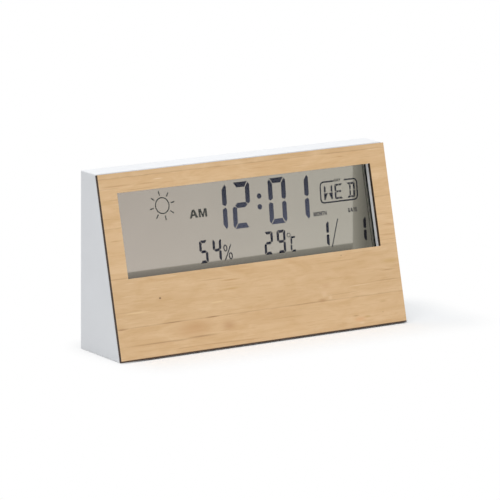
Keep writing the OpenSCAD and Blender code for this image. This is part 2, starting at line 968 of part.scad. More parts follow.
// Key bosses, hooks and the buzzer's ring
module cover_insides() {
  for (side = [-1, 1])
    rod_y(side * key_boss_x, key_z, key_board_face, cover_inner + cover_t / 2, key_boss_d);
  for (x = hook_xs) {
    block([x - hook_w / 2, hook_y, hook_z - hook_t], [x + hook_w / 2, cover_inner + cover_t / 2, hook_z]);
    block([x - hook_w / 2, hook_y, hook_z - hook_t],
      [x + hook_w / 2, hook_y + hook_t, hook_z + hook_rise]);
  }
  difference() {
    rod_y(buzzer_x, buzzer_z, cover_inner - buzzer_ring_h, cover_inner + cover_t / 2,
      buzzer_d + 2 * (buzzer_fit + buzzer_ring_t));
    rod_y(buzzer_x, buzzer_z, cover_inner - buzzer_ring_h - over, cover_inner,
      buzzer_d + 2 * buzzer_fit);
  }
  difference() {
    rod_y(buzzer_x, buzzer_z, cover_inner - buzzer_seat_h, cover_inner + cover_t / 2,
      buzzer_d + 2 * buzzer_fit + buzzer_seat_w);
    rod_y(buzzer_x, buzzer_z, cover_inner - buzzer_seat_h - over, cover_inner,
      buzzer_d - 2 * buzzer_seat_w);
  }
}

// Everything that opens the cover from behind
module cover_openings() {
  for (side = [-1, 1]) {
    rod_y(side * cover_screw_x, cover_screw_z, cover_inner - over, cover_face + over,
      cover_screw_d + screw_slip);
    rod_y(side * cover_screw_x, cover_screw_z, cover_face - cover_head_sink,
      cover_face + over, cover_head_d + screw_slip);
    rod_y(side * key_boss_x, key_z, key_board_face - over, cover_inner, screw_d + thread_slack);
  }
  stadium_y(0, key_z, cover_face - key_trough, cover_face + over,
    2 * (key_row_x + trough_end) + key_w, key_h + 2 * trough_side);
  for (i = [0:key_count - 1])
    stadium_y(key_x(i), key_z, cover_inner - over, cover_face + over,
      key_w + 2 * key_slack, key_h + 2 * key_slack);
  intersection() {
    stadium_y(0, door_z1, cover_face - scoop_depth, cover_face + over, scoop_w, 2 * scoop_h);
    block([-scoop_w, cover_inner, door_z1 - over], [scoop_w, cover_face + over, door_z1 + scoop_h + over]);
  }
  for (i = [0:vent_count - 1])
    translate([-vent_x + (i - (vent_count - 1) / 2) * vent_pitch, 0, vent_z])
      rotate([0, 90, 0])
        stadium_y(0, 0, cover_inner - over, cover_face + over, vent_h, vent_w);
  rod_y(buzzer_x, buzzer_z, cover_inner - over, cover_face + over, sound_hole_d);
  for (i = [0:sound_ring_count - 1])
    let (a = 360 * i / sound_ring_count)
      rod_y(buzzer_x + sound_ring_r * cos(a), buzzer_z + sound_ring_r * sin(a),
        cover_inner - over, cover_face + over, sound_hole_d);
}

module cover_screws() {
  color(metal_colour)
    for (side = [-1, 1])
      translate([side * cover_screw_x, cover_face - cover_head_sink, cover_screw_z])
        rotate([-90, 0, 0])
          screw(cover_screw_d, cover_head_d, cover_head_sink, cover_screw_l);
}

module buzzer_plate() {
  color("#c9a349")
    rod_y(buzzer_x, buzzer_z, plate_back - buzzer_t, plate_back, buzzer_d);
}

module buzzer_ceramic() {
  color("#d8d5cc")
    rod_y(buzzer_x, buzzer_z, plate_back - buzzer_t - ceramic_t, plate_back - buzzer_t, ceramic_d);
}

// A lead from point a, leaving along u, to point b, reached against w
module lead(a, u, arm_u, b, w, arm_w) {
  path = concat(
    [a],
    curve(a + lead_stub * u, a + arm_u * u, b + arm_w * w, b + lead_stub * w, lead_rings - 3),
    [b]
  );
  tube(path, lead_d, lead_sides, [u[1], u[2], u[0]]);
}

module buzzer_leads() {
  out = [0, cos(tilt), -sin(tilt)];
  color("#b3302a")
    for (k = [0, 1])
      lead(
        [buzzer_x - buzzer_lead_in[k], plate_back - buzzer_t - (1 - k) * ceramic_t,
          buzzer_z + buzzer_lead_up[k]],
        [0, -1, 0], buzzer_lead_arm,
        on_slope(buzzer_x - buzzer_lead_run, board_v(buzzer_z + buzzer_lead_up[k]), board_back),
        out, buzzer_lead_arm
      );
}

module battery_door() {
  color(case_colour)
    difference() {
      union() {
        block([-door_x + door_gap, cover_face - door_t, bay_z0 + door_gap],
          [door_x - door_gap, cover_face, door_z1 - door_gap]);
        for (side = [-1, 1])
          translate([side * tab_x, 0, bay_z0 + door_gap]) {
            block([-tab_w / 2, tab_y, 0], [tab_w / 2, cover_face - door_t / 2, tab_root]);
            block([-tab_w / 2, tab_y, -tab_reach], [tab_w / 2, tab_y + tab_t, tab_root]);
          }
      }
      block([-latch_hole, cover_face - door_t - over, leaf_z0],
        [latch_hole, cover_face + over, door_z1]);
      for (i = [0:groove_count - 1])
        block([-groove_l / 2, cover_face - groove_depth, leaf_z0 - groove_drop - i * groove_pitch],
          [groove_l / 2, cover_face + over, leaf_z0 - groove_drop - i * groove_pitch + groove_w]);
    }
}

// Folded leaf with a nose; its upper leg bends down to let the nose go
module battery_door_latch() {
  bend_r = leaf_t + leaf_gap / 2;
  bend = [cover_face - leaf_depth + bend_r, leaf_z0 + bend_r];
  nose_y = cover_inner - nose_play;
  pad_y = cover_face - pad_drop;
  color(case_colour)
    across(latch_w)
      polygon(concat(
        [[pad_y, leaf_z0], [pad_y, leaf_z0 + leaf_t]],
        arc(bend, leaf_gap / 2, 270, 90),
        [
          [pad_y - pad_h, leaf_top - leaf_t], [pad_y - pad_h, leaf_top - pad_h],
          [pad_y, leaf_top - pad_h], [pad_y, leaf_top], [nose_y, leaf_top],
          [nose_y, leaf_top + nose_h], [nose_y - nose_flat, leaf_top + nose_h],
          [nose_y - nose_l, leaf_top]
        ],
        arc(bend, bend_r, 90, 270)
      ));
}

// Contact plate against the bay's end, from row z0 to row z1; end is -1 or 1
module contact_plate(end, z0, z1) {
  x0 = end < 0 ? -bay_x : bay_x - plate_t;
  block([x0, cell_y - plate_w / 2, z0 - plate_w / 2],
    [x0 + plate_t, cell_y + plate_w / 2, z1 + plate_w / 2]);
}

// Bump that meets a cell's nub
module contact_bump(end, z) {
  translate([end * (bay_x - plate_t), cell_y, z])
    rotate([0, -90 * end, 0])
      cylinder(h = bump_h, d1 = bump_d, d2 = bump_top_d, $fn = fine);
}

module solder_tab(z) {
  block([-bay_x, bay_out - solder_tab_l, z - solder_tab_w / 2],
    [-bay_x + plate_t, cell_y, z + solder_tab_w / 2]);
}

module contact_bridge() {
  color(metal_colour) {
    contact_plate(1, cell_low_z, cell_high_z);
    contact_bump(1, cell_low_z);
  }
}

module contact_positive() {
  color(metal_colour) {
    contact_plate(-1, cell_high_z, cell_high_z);
    contact_bump(-1, cell_high_z);
    solder_tab(cell_high_z);
  }
}

module contact_negative() {
  color(metal_colour) {
    contact_plate(-1, cell_low_z, cell_low_z);
    solder_tab(cell_low_z);
  }
}

// Points of a conical coil from a contact plate to a cell; end is -1 or 1
function coil_path(end, z) =
  let (n = coil_turns * coil_rings_per_turn)
    [
      for (i = [0:n])
        let (
          t = i / n,
          a = 360 * coil_turns * t,
          r = coil_base_r + (coil_tip_r - coil_base_r) * t,
          x = bay_x - plate_t - coil_wire / 2 - (spring_l - coil_wire) * t
        )
          [end * x, cell_y + r * cos(a), z + r * sin(a)]
    ];

// Least gap between the coil's turns
coil_points = coil_path(1, cell_high_z);
coil_gap = min([
  for (i = [0:len(coil_points) - 1], j = [i + coil_rings_per_turn / 2:len(coil_points) - 1])
    norm(coil_points[i] - coil_points[j])
]) - coil_wire;
echo(coil_gap = coil_gap);

module spring_bridge() {
  color(metal_colour)
    tube(coil_path(1, cell_high_z), coil_wire, coil_sides, [1, 0, 0]);
}

module spring_negative() {
  color(metal_colour)
    tube(coil_path(-1, cell_low_z), coil_wire, coil_sides, [1, 0, 0]);
}

// Cell lying along X, its nub towards end
module cell(end, z) {
  body_l = cell_l - nub_h;
  color("#3d6f9e")
    translate([end * (bay_x - plate_t - bump_h), cell_y, z])
      rotate([0, -90 * end, 0]) {
        cylinder(h = 2 * nub_h, d = nub_d, $fn = fine);
        translate([0, 0, nub_h])
          cylinder(h = cell_edge, d1 = cell_d - 2 * cell_edge, d2 = cell_d, $fn = fine);
        translate([0, 0, nub_h + cell_edge])
          cylinder(h = body_l - 2 * cell_edge, d = cell_d, $fn = fine);
        translate([0, 0, cell_l - cell_edge])
          cylinder(h = cell_edge, d1 = cell_d, d2 = cell_d - 2 * cell_edge, $fn = fine);
      }
}

module cell_lower() { cell(1, cell_low_z); }
module cell_upper() { cell(-1, cell_high_z); }

// Lead from a solder tab, round the bay's end, to the main board
module battery_lead(row, run, up) {
  lead(
    [-bay_x, bay_out - solder_tab_l / 2, row], [-1, 0, 0], battery_lead_arm,
    on_slope(-bay_x - run, frame_v0 + up, board_back),
    [0, cos(tilt), -sin(tilt)], battery_lead_arm
  );
}

module lead_positive() {
  color("#b3302a")
    battery_lead(cell_high_z, lead_run[0], lead_up[0]);
}

module lead_negative() {
  color("#26282b")
    battery_lead(cell_low_z, lead_run[1], lead_up[1]);
}

housing();
front_panel();
panel_tape();
lens_tape();
lens();
front_polariser();
front_glass();
rear_glass();
reflector();
lcd_frame();
contact_strips();
main_board();
processor_cap();
crystal();
board_capacitors();
humidity_sensor();
thermistor();
board_screws();
key_board();
key_board_screws();
ribbon_cable();
switch_bodies();
mode_plunger();
set_plunger();
up_plunger();
down_plunger();
unit_plunger();
mode_key();
set_key();
up_key();
down_key();
unit_key();
rear_cover();
cover_screws();
buzzer_plate();
buzzer_ceramic();
buzzer_leads();
battery_door();
battery_door_latch();
contact_bridge();
contact_positive();
contact_negative();
spring_bridge();
spring_negative();
cell_lower();
cell_upper();
lead_positive();
lead_negative();
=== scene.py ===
import math
import bpy
from mathutils import Matrix, Vector


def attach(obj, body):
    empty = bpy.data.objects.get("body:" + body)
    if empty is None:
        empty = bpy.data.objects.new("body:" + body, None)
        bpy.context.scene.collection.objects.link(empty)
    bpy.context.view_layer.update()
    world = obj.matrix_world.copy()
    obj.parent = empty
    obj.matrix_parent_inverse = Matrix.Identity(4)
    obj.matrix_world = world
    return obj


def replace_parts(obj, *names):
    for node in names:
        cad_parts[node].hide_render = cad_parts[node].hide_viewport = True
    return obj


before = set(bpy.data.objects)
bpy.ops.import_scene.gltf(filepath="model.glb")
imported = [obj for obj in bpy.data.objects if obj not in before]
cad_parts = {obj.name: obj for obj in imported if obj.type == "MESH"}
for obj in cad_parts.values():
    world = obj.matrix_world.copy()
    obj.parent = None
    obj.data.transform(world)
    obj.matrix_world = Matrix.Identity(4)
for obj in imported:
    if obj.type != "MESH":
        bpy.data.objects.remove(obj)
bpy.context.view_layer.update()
bpy.ops.object.select_all(action="DESELECT")
scene = bpy.context.scene
MM = 0.001

# Camera: a long lens, to the left of the station and a little above it. Its place comes from the
# corners of the case and of the window in the photograph.
azimuth, elevation, roll = math.radians(-33.88), math.radians(12.02), math.radians(0.54)
target, distance = Vector((1.52, 0, 35.78)) * MM, 1.657
back = Vector((math.sin(azimuth) * math.cos(elevation),
               -math.cos(azimuth) * math.cos(elevation), math.sin(elevation)))
level = Vector((0, 0, 1)).cross(back).normalized()
upward = back.cross(level)
right = level * math.cos(roll) + upward * math.sin(roll)
above = upward * math.cos(roll) - level * math.sin(roll)
camera = bpy.data.objects.new("camera", bpy.data.cameras.new("camera"))
scene.collection.objects.link(camera)
camera.matrix_world = Matrix.Translation(target + back * distance) @ Matrix(
    (right, above, back)).transposed().to_4x4()
camera.data.lens = 291.7
camera.data.sensor_width = 36
scene.camera = camera
scene.view_settings.view_transform = "Standard"


def colour(code):
    """Turns an sRGB hex colour to the linear values that a shader takes."""
    parts = [int(code[i:i + 2], 16) / 255 for i in (0, 2, 4)]
    return [c / 12.92 if c <= 0.04045 else ((c + 0.055) / 1.055) ** 2.4 for c in parts] + [1.0]


def add(tree, kind, inputs=None, **settings):
    """Adds a node with its settings and values. An input that is given a socket is linked to it,
    and one that is given a node is linked to the first output which that node has in use."""
    node = tree.nodes.new("ShaderNode" + kind)
    for name, value in settings.items():
        setattr(node, name, value)
    for name, value in (inputs or {}).items():
        if isinstance(value, bpy.types.Node):
            value = next(output for output in value.outputs if output.enabled)
        if isinstance(value, bpy.types.NodeSocket):
            tree.links.new(value, node.inputs[name])
        else:
            node.inputs[name].default_value = value
    return node


def new_material(name):
    """A material, its emptied node tree, and the node that tells the place on the piece."""
    material = bpy.data.materials.new(name)
    material.use_nodes = True
    material.node_tree.nodes.clear()
    return material, material.node_tree, add(material.node_tree, "TexCoord")


# Studio: an even pale room. Lamps and room light the station at a plain level, and the camera,
# gloss and clear parts see the room as white.
world = bpy.data.worlds.new("pale_room")
scene.world = world
world.use_nodes = True
tree = world.node_tree
tree.nodes.clear()
ray = add(tree, "LightPath")
seen = add(tree, "Math", {
    0: ray.outputs["Is Camera Ray"], 1: ray.outputs["Is Glossy Ray"]}, operation="MAXIMUM")
seen = add(tree, "Math", {0: seen, 1: ray.outputs["Is Transmission Ray"]}, operation="MAXIMUM")
room = add(tree, "Background", {"Color": (0.94, 0.97, 1.0, 1), "Strength": 0.445})
white = add(tree, "Background", {"Color": (1, 1, 1, 1), "Strength": 1.0})
both = add(tree, "MixShader", {0: seen, 1: room, 2: white})
add(tree, "OutputWorld", {"Surface": both})


def area_lamp(name, place, aim, size, watts, tint):
    """A square soft box that points from its place at aim, both in metres."""
    data = bpy.data.lights.new(name, "AREA")
    data.shape, data.size, data.energy, data.color = "SQUARE", size, watts, tint
    lamp = bpy.data.objects.new(name, data)
    scene.collection.objects.link(lamp)
    away = (Vector(place) - Vector(aim)).normalized()
    turned = away.to_track_quat("Z", "Y").to_matrix().to_4x4()
    lamp.matrix_world = Matrix.Translation(place) @ turned
    return lamp


area_lamp("overhead_soft_box", (-0.08, -0.10, 1.1), (0, 0, 0), 0.9, 7.3, (1, 1, 1))
front = area_lamp("front_soft_box", (0.05, -1.15, 0.5), (0, 0, 0.04), 0.6, 3.3, (1, 0.985, 0.96))
front.visible_glossy = False

# Table: a white sweep of matt paper that fades to the white room. The station's soft shadow shows
# in a box round its foot that reaches past its right end, and fades out over the next 25 mm.
shadow_middle, shadow_half, shadow_reach = (0.016, -0.005, 0), (0.071, 0.015, 0), 0.025
bpy.ops.mesh.primitive_plane_add(size=6, location=(0, 0, 0))
table = bpy.context.object
table.name = "table"
material, tree, place = new_material("white_table")
off = add(tree, "VectorMath", {0: place.outputs["Object"], 1: shadow_middle}, operation="SUBTRACT")
off = add(tree, "VectorMath", {0: off}, operation="ABSOLUTE")
off = add(tree, "VectorMath", {0: off, 1: shadow_half}, operation="SUBTRACT")
off = add(tree, "VectorMath", {0: off, 1: (0, 0, 0)}, operation="MAXIMUM")
far = add(tree, "VectorMath", {0: off}, operation="LENGTH")
fade = add(tree, "MapRange", {
    "Value": far, "From Min": 0, "From Max": shadow_reach}, interpolation_type="SMOOTHSTEP")
ray = add(tree, "LightPath")
seen = add(tree, "Math", {
    0: ray.outputs["Is Camera Ray"], 1: ray.outputs["Is Glossy Ray"]}, operation="MAXIMUM")
share = add(tree, "Math", {0: fade, 1: seen}, operation="MULTIPLY")
paper = add(tree, "BsdfDiffuse", {"Color": colour("F6F6F6")})
glow = add(tree, "Emission", {"Color": (1, 1, 1, 1), "Strength": 1.0})
mix = add(tree, "MixShader", {0: share, 1: paper, 2: glow})
add(tree, "OutputMaterial", {"Surface": mix})
table.data.materials.append(material)

# Flags: dark boards at the edge of the room's bright side. Only gloss sees them, so the mirror
# behind the display darkens in a band along its foot and at its right end.
LEAN = math.atan2(18.9, 73.0)
up_slope = Vector((0, math.sin(LEAN), math.cos(LEAN)))
outward = Vector((0, -math.cos(LEAN), math.sin(LEAN)))
display_middle = Vector((3.26, 2.83, 49.34)) * MM
mirrored = (display_middle - camera.matrix_world.translation).normalized().reflect(outward)
flag_x = mirrored.cross(Vector((0, 0, 1))).normalized()
flag_y = flag_x.cross(mirrored)


def flag(name, corners, distance, depth, shades):
    """A board square to the mirrored view, its corners in mm; its first side is its edge, and it
    darkens from the first shade there to the second at a depth in mm."""
    middle = display_middle + mirrored * distance
    bpy.ops.mesh.primitive_plane_add(size=1)
    board = bpy.context.object
    board.name = name
    corners = [middle + flag_x * x * MM + flag_y * y * MM for x, y in corners]
    for vertex, corner in zip(board.data.vertices, (corners[i] for i in (0, 1, 3, 2))):
        vertex.co = corner
    inward = mirrored.cross(corners[1] - corners[0]).normalized()
    inward *= math.copysign(1, inward.dot(corners[2] - corners[1]))
    material, tree, place = new_material(name)
    along = add(tree, "VectorMath", {
        0: place.outputs["Object"], 1: inward}, operation="DOT_PRODUCT")
    start = corners[0].dot(inward)
    tone = add(tree, "MapRange", {
        "Value": along, "From Min": start, "From Max": start + depth * MM, "To Min": shades[0],
        "To Max": shades[1]})
    dark = add(tree, "Emission", {"Color": (1, 0.995, 0.96, 1), "Strength": tone})
    add(tree, "OutputMaterial", {"Surface": dark})
    board.data.materials.append(material)
    board.visible_camera = board.visible_diffuse = board.visible_shadow = False
    board.visible_transmission = board.visible_volume_scatter = False


flag("foot_flag", [(80, -10.3), (-69, -31.35), (-66, -80), (82, -80)], 0.5, 3.3, (0.52, 0.36))
flag("end_flag", [(-63.4, 24), (-36.5, -73), (-130, -73), (-130, 24)], 0.499, 7.0, (0.6, 0.315))


def moulded_plastic(name, code, roughness, grain=0.35, depth=0.004, gloss=0.5):
    """Injection-moulded plastic: an even colour, a spark-eroded grain in mm, faint flow clouds."""
    material, tree, place = new_material(name)
    clouds = add(tree, "TexNoise", {
        "Vector": place.outputs["Object"], "Scale": 1 / (22 * MM), "Detail": 3.0,
        "Roughness": 0.5})
    tint = add(tree, "MapRange", {
        "Value": clouds, "From Min": 0.3, "From Max": 0.7, "To Min": 0.975, "To Max": 1.025})
    base = add(tree, "VectorMath", {0: colour(code)[:3], "Scale": tint}, operation="SCALE")
    rough = add(tree, "MapRange", {
        "Value": clouds, "From Min": 0.3, "From Max": 0.7, "To Min": roughness - 0.04,
        "To Max": roughness + 0.04})
    pits = add(tree, "TexNoise", {
        "Vector": place.outputs["Object"], "Scale": 1 / (grain * MM), "Detail": 2.0,
        "Roughness": 0.6})
    bump = add(tree, "Bump", {"Height": pits, "Strength": 1.0, "Distance": depth * MM})
    shader = add(tree, "BsdfPrincipled", {
        "Base Color": base, "Roughness": rough, "IOR": 1.53,
        "Specular IOR Level": gloss, "Normal": bump})
    add(tree, "OutputMaterial", {"Surface": shader})
    return material


def finish(material, *names):
    """Gives CAD nodes their material in every slot."""
    for name in names:
        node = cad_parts[name]
        if not node.material_slots:
            node.data.materials.append(None)
        for slot in node.material_slots:
            slot.material = material


# Case: one wedge-shaped shell moulded in white ABS, open at the back, with the window's rebate,
# the screw posts and the hook slots inside. A fine spark-eroded mould gives it a satin skin.
white_abs = moulded_plastic("satin_white_abs", "EDEEF0", 0.42)
finish(white_abs, "housing")

# Front: bamboo strips 20 mm wide, glued side by side and sliced to 1.5 mm, under a matt lacquer.
# Its fibres run along the strips in fine streaks, with a few dark ones and the scars of the
# bamboo's joints. The laser that cut the outline and the window charred their edges brown. A thin
# band along the face's foot is painted the same dark brown as painted shade, for the gap and
# contact shadow under the panel.
SLOPE_FOOT = Vector((0, -15.75, 0.5))
strip_width, cut_off = 20.05, 6.75
material, tree, place = new_material("lacquered_bamboo")
sheet_mm = add(tree, "Mapping", {
    "Vector": place.outputs["Object"], "Location": (0, -SLOPE_FOOT.dot(up_slope), 0),
    "Rotation": (LEAN - math.pi / 2, 0, 0), "Scale": (1000, 1000, 1000)})
axes = add(tree, "SeparateXYZ", {0: sheet_mm})
strips = add(tree, "Math", {0: axes.outputs[1], 1: cut_off}, operation="ADD")
strips = add(tree, "Math", {0: strips, 1: strip_width}, operation="DIVIDE")
strip = add(tree, "Math", {0: strips}, operation="FLOOR")
strip_tone = add(tree, "TexWhiteNoise", {"W": strip}, noise_dimensions="1D")
shift = add(tree, "VectorMath", {
    0: strip_tone.outputs["Color"], 1: (400, 0, 60)}, operation="MULTIPLY")
moved = add(tree, "VectorMath", {0: sheet_mm, 1: shift}, operation="ADD")
marks = {}
for mark, length, width, detail, roughness, wave in (
        ("streaks", 60, 2.4, 4.0, 0.55, 0.3), ("clouds", 16, 5, 3.0, 0.6, 0.8),
        ("fibres", 7, 0.45, 3.0, 0.6, 0.0), ("dark_fibres", 40, 0.9, 1.0, 0.5, 0.2),
        ("flecks", 16, 0.7, 1.0, 0.5, 0.3)):
    # Noise drawn out along the strips: length and width of its marks are in mm.
    drawn = add(tree, "VectorMath", {
        0: moved, 1: (1 / length, 1 / width, 1 / 20)}, operation="MULTIPLY")
    marks[mark] = add(tree, "TexNoise", {
        "Vector": drawn, "Scale": 1.0, "Detail": detail, "Roughness": roughness,
        "Distortion": wave})
tone = add(tree, "MapRange", {"Value": marks["streaks"], "From Min": 0.3, "From Max": 0.7})
warm = add(tree, "MapRange", {"Value": marks["clouds"], "From Min": 0.32, "From Max": 0.68})
share = add(tree, "Math", {0: warm, 1: 0.65}, operation="MULTIPLY")
share = add(tree, "Math", {0: tone, 1: 0.35, 2: share}, operation="MULTIPLY_ADD")
shade = add(tree, "Mix", {0: share, 6: colour("DCBB92"), 7: colour("CDA87B")}, data_type="RGBA")
layers = []
for mark, start, full, strength, code in (
        ("fibres", 0.52, 0.72, 0.32, "BC925F"), ("dark_fibres", 0.69, 0.75, 0.35, "A67A4B"),
        ("flecks", 0.7, 0.8, 0.3, "EFD8B6")):
    layers.append((add(tree, "MapRange", {
        "Value": marks[mark], "From Min": start, "From Max": full, "To Max": strength}), code))
seam_at = add(tree, "Math", {0: strips}, operation="FRACT")
seam_at = add(tree, "Math", {0: seam_at, 1: 0.5}, operation="SUBTRACT")
seam_at = add(tree, "Math", {0: seam_at}, operation="ABSOLUTE")
seam = add(tree, "MapRange", {"Value": seam_at, "From Min": 0.484, "From Max": 0.5, "To Max": 0.5})
layers.append((add(tree, "Math", {0: seam, 1: warm}, operation="MULTIPLY"), "8F663F"))
# Single marks: place across and up, half length and half width in mm, strength and colour.
for across, up, half_length, half_width, strength, code in (
        (-48.3, 23.6, 0.75, 0.6, 1.0, "4E321C"), (41.5, 31.0, 0.5, 0.4, 0.6, "6A4729"),
        (58.7, 5.6, 0.35, 0.3, 0.6, "6A4729"), (-50, 5.9, 24, 0.45, 0.5, "97704A"),
        (-31, 6.2, 10, 0.6, 0.6, "97704A"), (-44, 13.3, 8, 0.4, 0.55, "8F663F"),
        (-24.5, 13.3, 5, 0.45, 0.7, "8F663F"), (-68, 13.0, 4, 0.4, 0.7, "8F663F"),
        (-34, 9.8, 14, 4.2, 0.6, "BE9062"), (-17.5, 8.9, 5.5, 3.4, 0.6, "B98C62"),
        (2, 10.5, 22, 4.5, 0.35, "C09768"), (-14.5, 23.6, 7, 0.6, 0.5, "B98F4E"),
        (-14, 27.2, 7, 0.5, 0.6, "B28247"), (-58, 23.6, 5, 0.5, 0.35, "B98F4E"),
        (-60, 19.0, 9, 0.5, 0.5, "EBCF9F"), (-21.5, 19.0, 5, 0.5, 0.5, "EBCF9F"),
        (29.5, 13.7, 3.2, 1.1, 0.45, "A0744A"), (33.5, 14.4, 1.6, 1.3, 0.4, "E8CCA8"),
        (32, 19.4, 3.5, 1.6, 0.4, "C79A72"), (30.8, 16.2, 2.4, 1.8, 0.4, "E6C6A2"),
        (47, 3.9, 4.4, 1.5, 0.5, "D6A173"), (45, 5.5, 2.2, 0.5, 0.6, "A87C49"),
        (50.6, 4.6, 2.6, 0.7, 0.5, "B58D4C"), (47.6, 2.2, 2.0, 0.9, 0.4, "E9CDAC"),
        (66, 26.3, 8, 1.7, 0.45, "B98F4A"), (64, 22.7, 5, 0.45, 0.6, "A87C49"),
        (59.5, 9.9, 3, 0.6, 0.4, "B08853"), (67, 41.5, 5, 0.35, 0.5, "A5713F"),
        (66, 37.0, 6, 0.4, 0.4, "B5834C"), (47.5, 71.7, 3, 0.35, 0.5, "B07F45"),
        (-62, 70.2, 11, 0.5, 0.5, "A9794A"), (-47, 70.1, 7, 0.35, 0.4, "A9794A"),
        (-42, 71.4, 4, 0.35, 0.5, "F0D9B8"), (-38, 69.6, 5, 0.35, 0.4, "B98A5C"),
        (-66, 48.4, 4, 0.35, 0.4, "A9794A"), (-68, 57.4, 6, 0.35, 0.3, "A9794A"),
        (8, 71.0, 9, 0.4, 0.35, "B98A5C"), (27, 70.0, 8, 0.35, 0.35, "B98A5C")):
    away = add(tree, "VectorMath", {0: sheet_mm, 1: (across, up, 0)}, operation="SUBTRACT")
    away = add(tree, "VectorMath", {
        0: away, 1: (1 / half_length, 1 / half_width, 0)}, operation="MULTIPLY")
    near = add(tree, "VectorMath", {0: away}, operation="LENGTH")
    spot = add(tree, "MapRange", {
        "Value": near, "From Min": 1.0, "From Max": 0.0, "To Max": strength},
        interpolation_type="SMOOTHSTEP")
    layers.append((spot, code))
# Charred cut edges, and painted shade: a band up to 0.75 mm high along the face's foot.
facing = add(tree, "VectorMath", {0: place.outputs["Normal"], 1: outward}, operation="DOT_PRODUCT")
facing = add(tree, "Math", {0: facing}, operation="ABSOLUTE")
char_and_foot_shade = add(tree, "MapRange", {"Value": facing, "From Min": 0.75, "From Max": 0.5})
foot_painted_shade = add(tree, "MapRange", {"Value": axes.outputs[1], "From Min": 0.75, "From Max": 0.45})
char_and_foot_shade = add(tree, "Math", {0: char_and_foot_shade, 1: foot_painted_shade}, operation="MAXIMUM")
for amount, code in layers:
    shade = add(tree, "Mix", {0: amount, 6: shade, 7: colour(code)}, data_type="RGBA")
char_and_shade = add(tree, "Mix", {0: tone, 6: colour("4A3322"), 7: colour("2C1E15")}, data_type="RGBA")
shade = add(tree, "Mix", {0: char_and_foot_shade, 6: shade, 7: char_and_shade}, data_type="RGBA")
strip_light = add(tree, "MapRange", {"Value": strip_tone, "To Min": 0.98, "To Max": 1.02})
base = add(tree, "VectorMath", {0: shade, "Scale": strip_light}, operation="SCALE")
bump = add(tree, "Bump", {"Height": marks["fibres"], "Strength": 0.6, "Distance": 0.01 * MM})
rough = add(tree, "MapRange", {
    "Value": marks["streaks"], "From Min": 0.3, "From Max": 0.7, "To Min": 0.5, "To Max": 0.62})
shader = add(tree, "BsdfPrincipled", {
    "Base Color": base, "Roughness": rough, "IOR": 1.5, "Specular IOR Level": 0.35,
    "Normal": bump})
add(tree, "OutputMaterial", {"Surface": shader})
finish(material, "front_panel")

# Tapes: black double-sided foam, one ring between bamboo and case, one between case and lens.
# The lens tape's cut edge shows as the black line beside the display.
foam = moulded_plastic("black_foam_tape", "17171A", 0.8, grain=0.25, depth=0.03, gloss=0.12)
finish(foam, "panel_tape", "lens_tape")


# Lens: a clear acrylic sheet behind the window, with a hard coat that keeps most glare off it. It
# is laser-cut and held by the foam tape; its cut edge is painted dark grey, as painted shade for
# the dark recess round the window.
def clear_sheet(name, tint, ior, edge_shade_code=None):
    """A clear sheet: see-through, with the room's gloss on the faces that look outwards. Where a
    colour is given, its cut edges are painted that opaque colour, as painted shade."""
    material, tree, place = new_material(name)
    side = add(tree, "NewGeometry")
    bend = add(tree, "Fresnel", {"IOR": ior})
    front = add(tree, "Math", {0: 1.0, 1: side.outputs["Backfacing"]}, operation="SUBTRACT")
    share = add(tree, "Math", {0: bend, 1: front}, operation="MULTIPLY")
    clear = add(tree, "BsdfTransparent", {"Color": colour(tint)})
    gloss = add(tree, "BsdfGlossy", {"Color": (1, 1, 1, 1), "Roughness": 0.03})
    sheet = add(tree, "MixShader", {0: share, 1: clear, 2: gloss})
    if edge_shade_code:
        facing = add(tree, "VectorMath", {
            0: place.outputs["Normal"], 1: outward}, operation="DOT_PRODUCT")
        facing = add(tree, "Math", {0: facing}, operation="ABSOLUTE")
        edge = add(tree, "Math", {0: facing, 1: 0.5}, operation="LESS_THAN")
        dark = add(tree, "BsdfPrincipled", {"Base Color": colour(edge_shade_code), "Roughness": 0.5})
        sheet = add(tree, "MixShader", {0: edge, 1: sheet, 2: dark})
    add(tree, "OutputMaterial", {"Surface": sheet})
    return material


finish(clear_sheet("coated_acrylic", "FDFEFD", 1.25, "2A2B29"), "lens")

# Display: liquid crystal between two sheets of glass, a polariser on the front and a mirror film
# behind. Seen together they are one grey mirror, so the polariser has that finish. The real film
# is too hazy to mirror the window's edges, so gloss doesn't see the pieces round it.
DISPLAY_DEPTH, HALF_DISPLAY = 5.75, 62


def mirror_film(name, left_code, right_code, roughness, low=0.0, high=0.0, low_painted_light=1.0):
    """What is seen against the mirror film: its colour, which shifts from left to right as painted
    shade, and painted light that makes it paler low on the sheet, where the view is flatter."""
    material, tree, place = new_material(name)
    axes = add(tree, "SeparateXYZ", {0: place.outputs["Object"]})
    across = add(tree, "MapRange", {
        "Value": axes.outputs[0], "From Min": -HALF_DISPLAY * MM, "From Max": HALF_DISPLAY * MM})
    base = add(tree, "Mix", {
        0: across, 6: colour(left_code), 7: colour(right_code)}, data_type="RGBA")
    haze = add(tree, "TexNoise", {
        "Vector": place.outputs["Object"], "Scale": 1 / (30 * MM), "Detail": 2.0})
    tint = add(tree, "MapRange", {
        "Value": haze, "From Min": 0.3, "From Max": 0.7, "To Min": 0.975, "To Max": 1.025})
    lift = add(tree, "MapRange", {
        "Value": axes.outputs[2], "From Min": low * MM, "From Max": (high + 0.001) * MM,
        "To Min": low_painted_light})
    both = add(tree, "Math", {0: tint, 1: lift}, operation="MULTIPLY")
    base = add(tree, "VectorMath", {0: base, "Scale": both}, operation="SCALE")
    shader = add(tree, "BsdfPrincipled", {
        "Base Color": base, "Metallic": 1.0, "Roughness": roughness})
    add(tree, "OutputMaterial", {"Surface": shader})
    return material


# Painted shade and light: the polariser darkens from left to right, and is painted up to 12 %
# brighter low on the display.
finish(mirror_film("grey_polariser", "B0A59E", "A9A39A", 0.015, 30, 66, 1.12), "front_polariser")
for name in ("housing", "front_panel", "panel_tape", "lens_tape"):
    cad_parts[name].visible_glossy = False


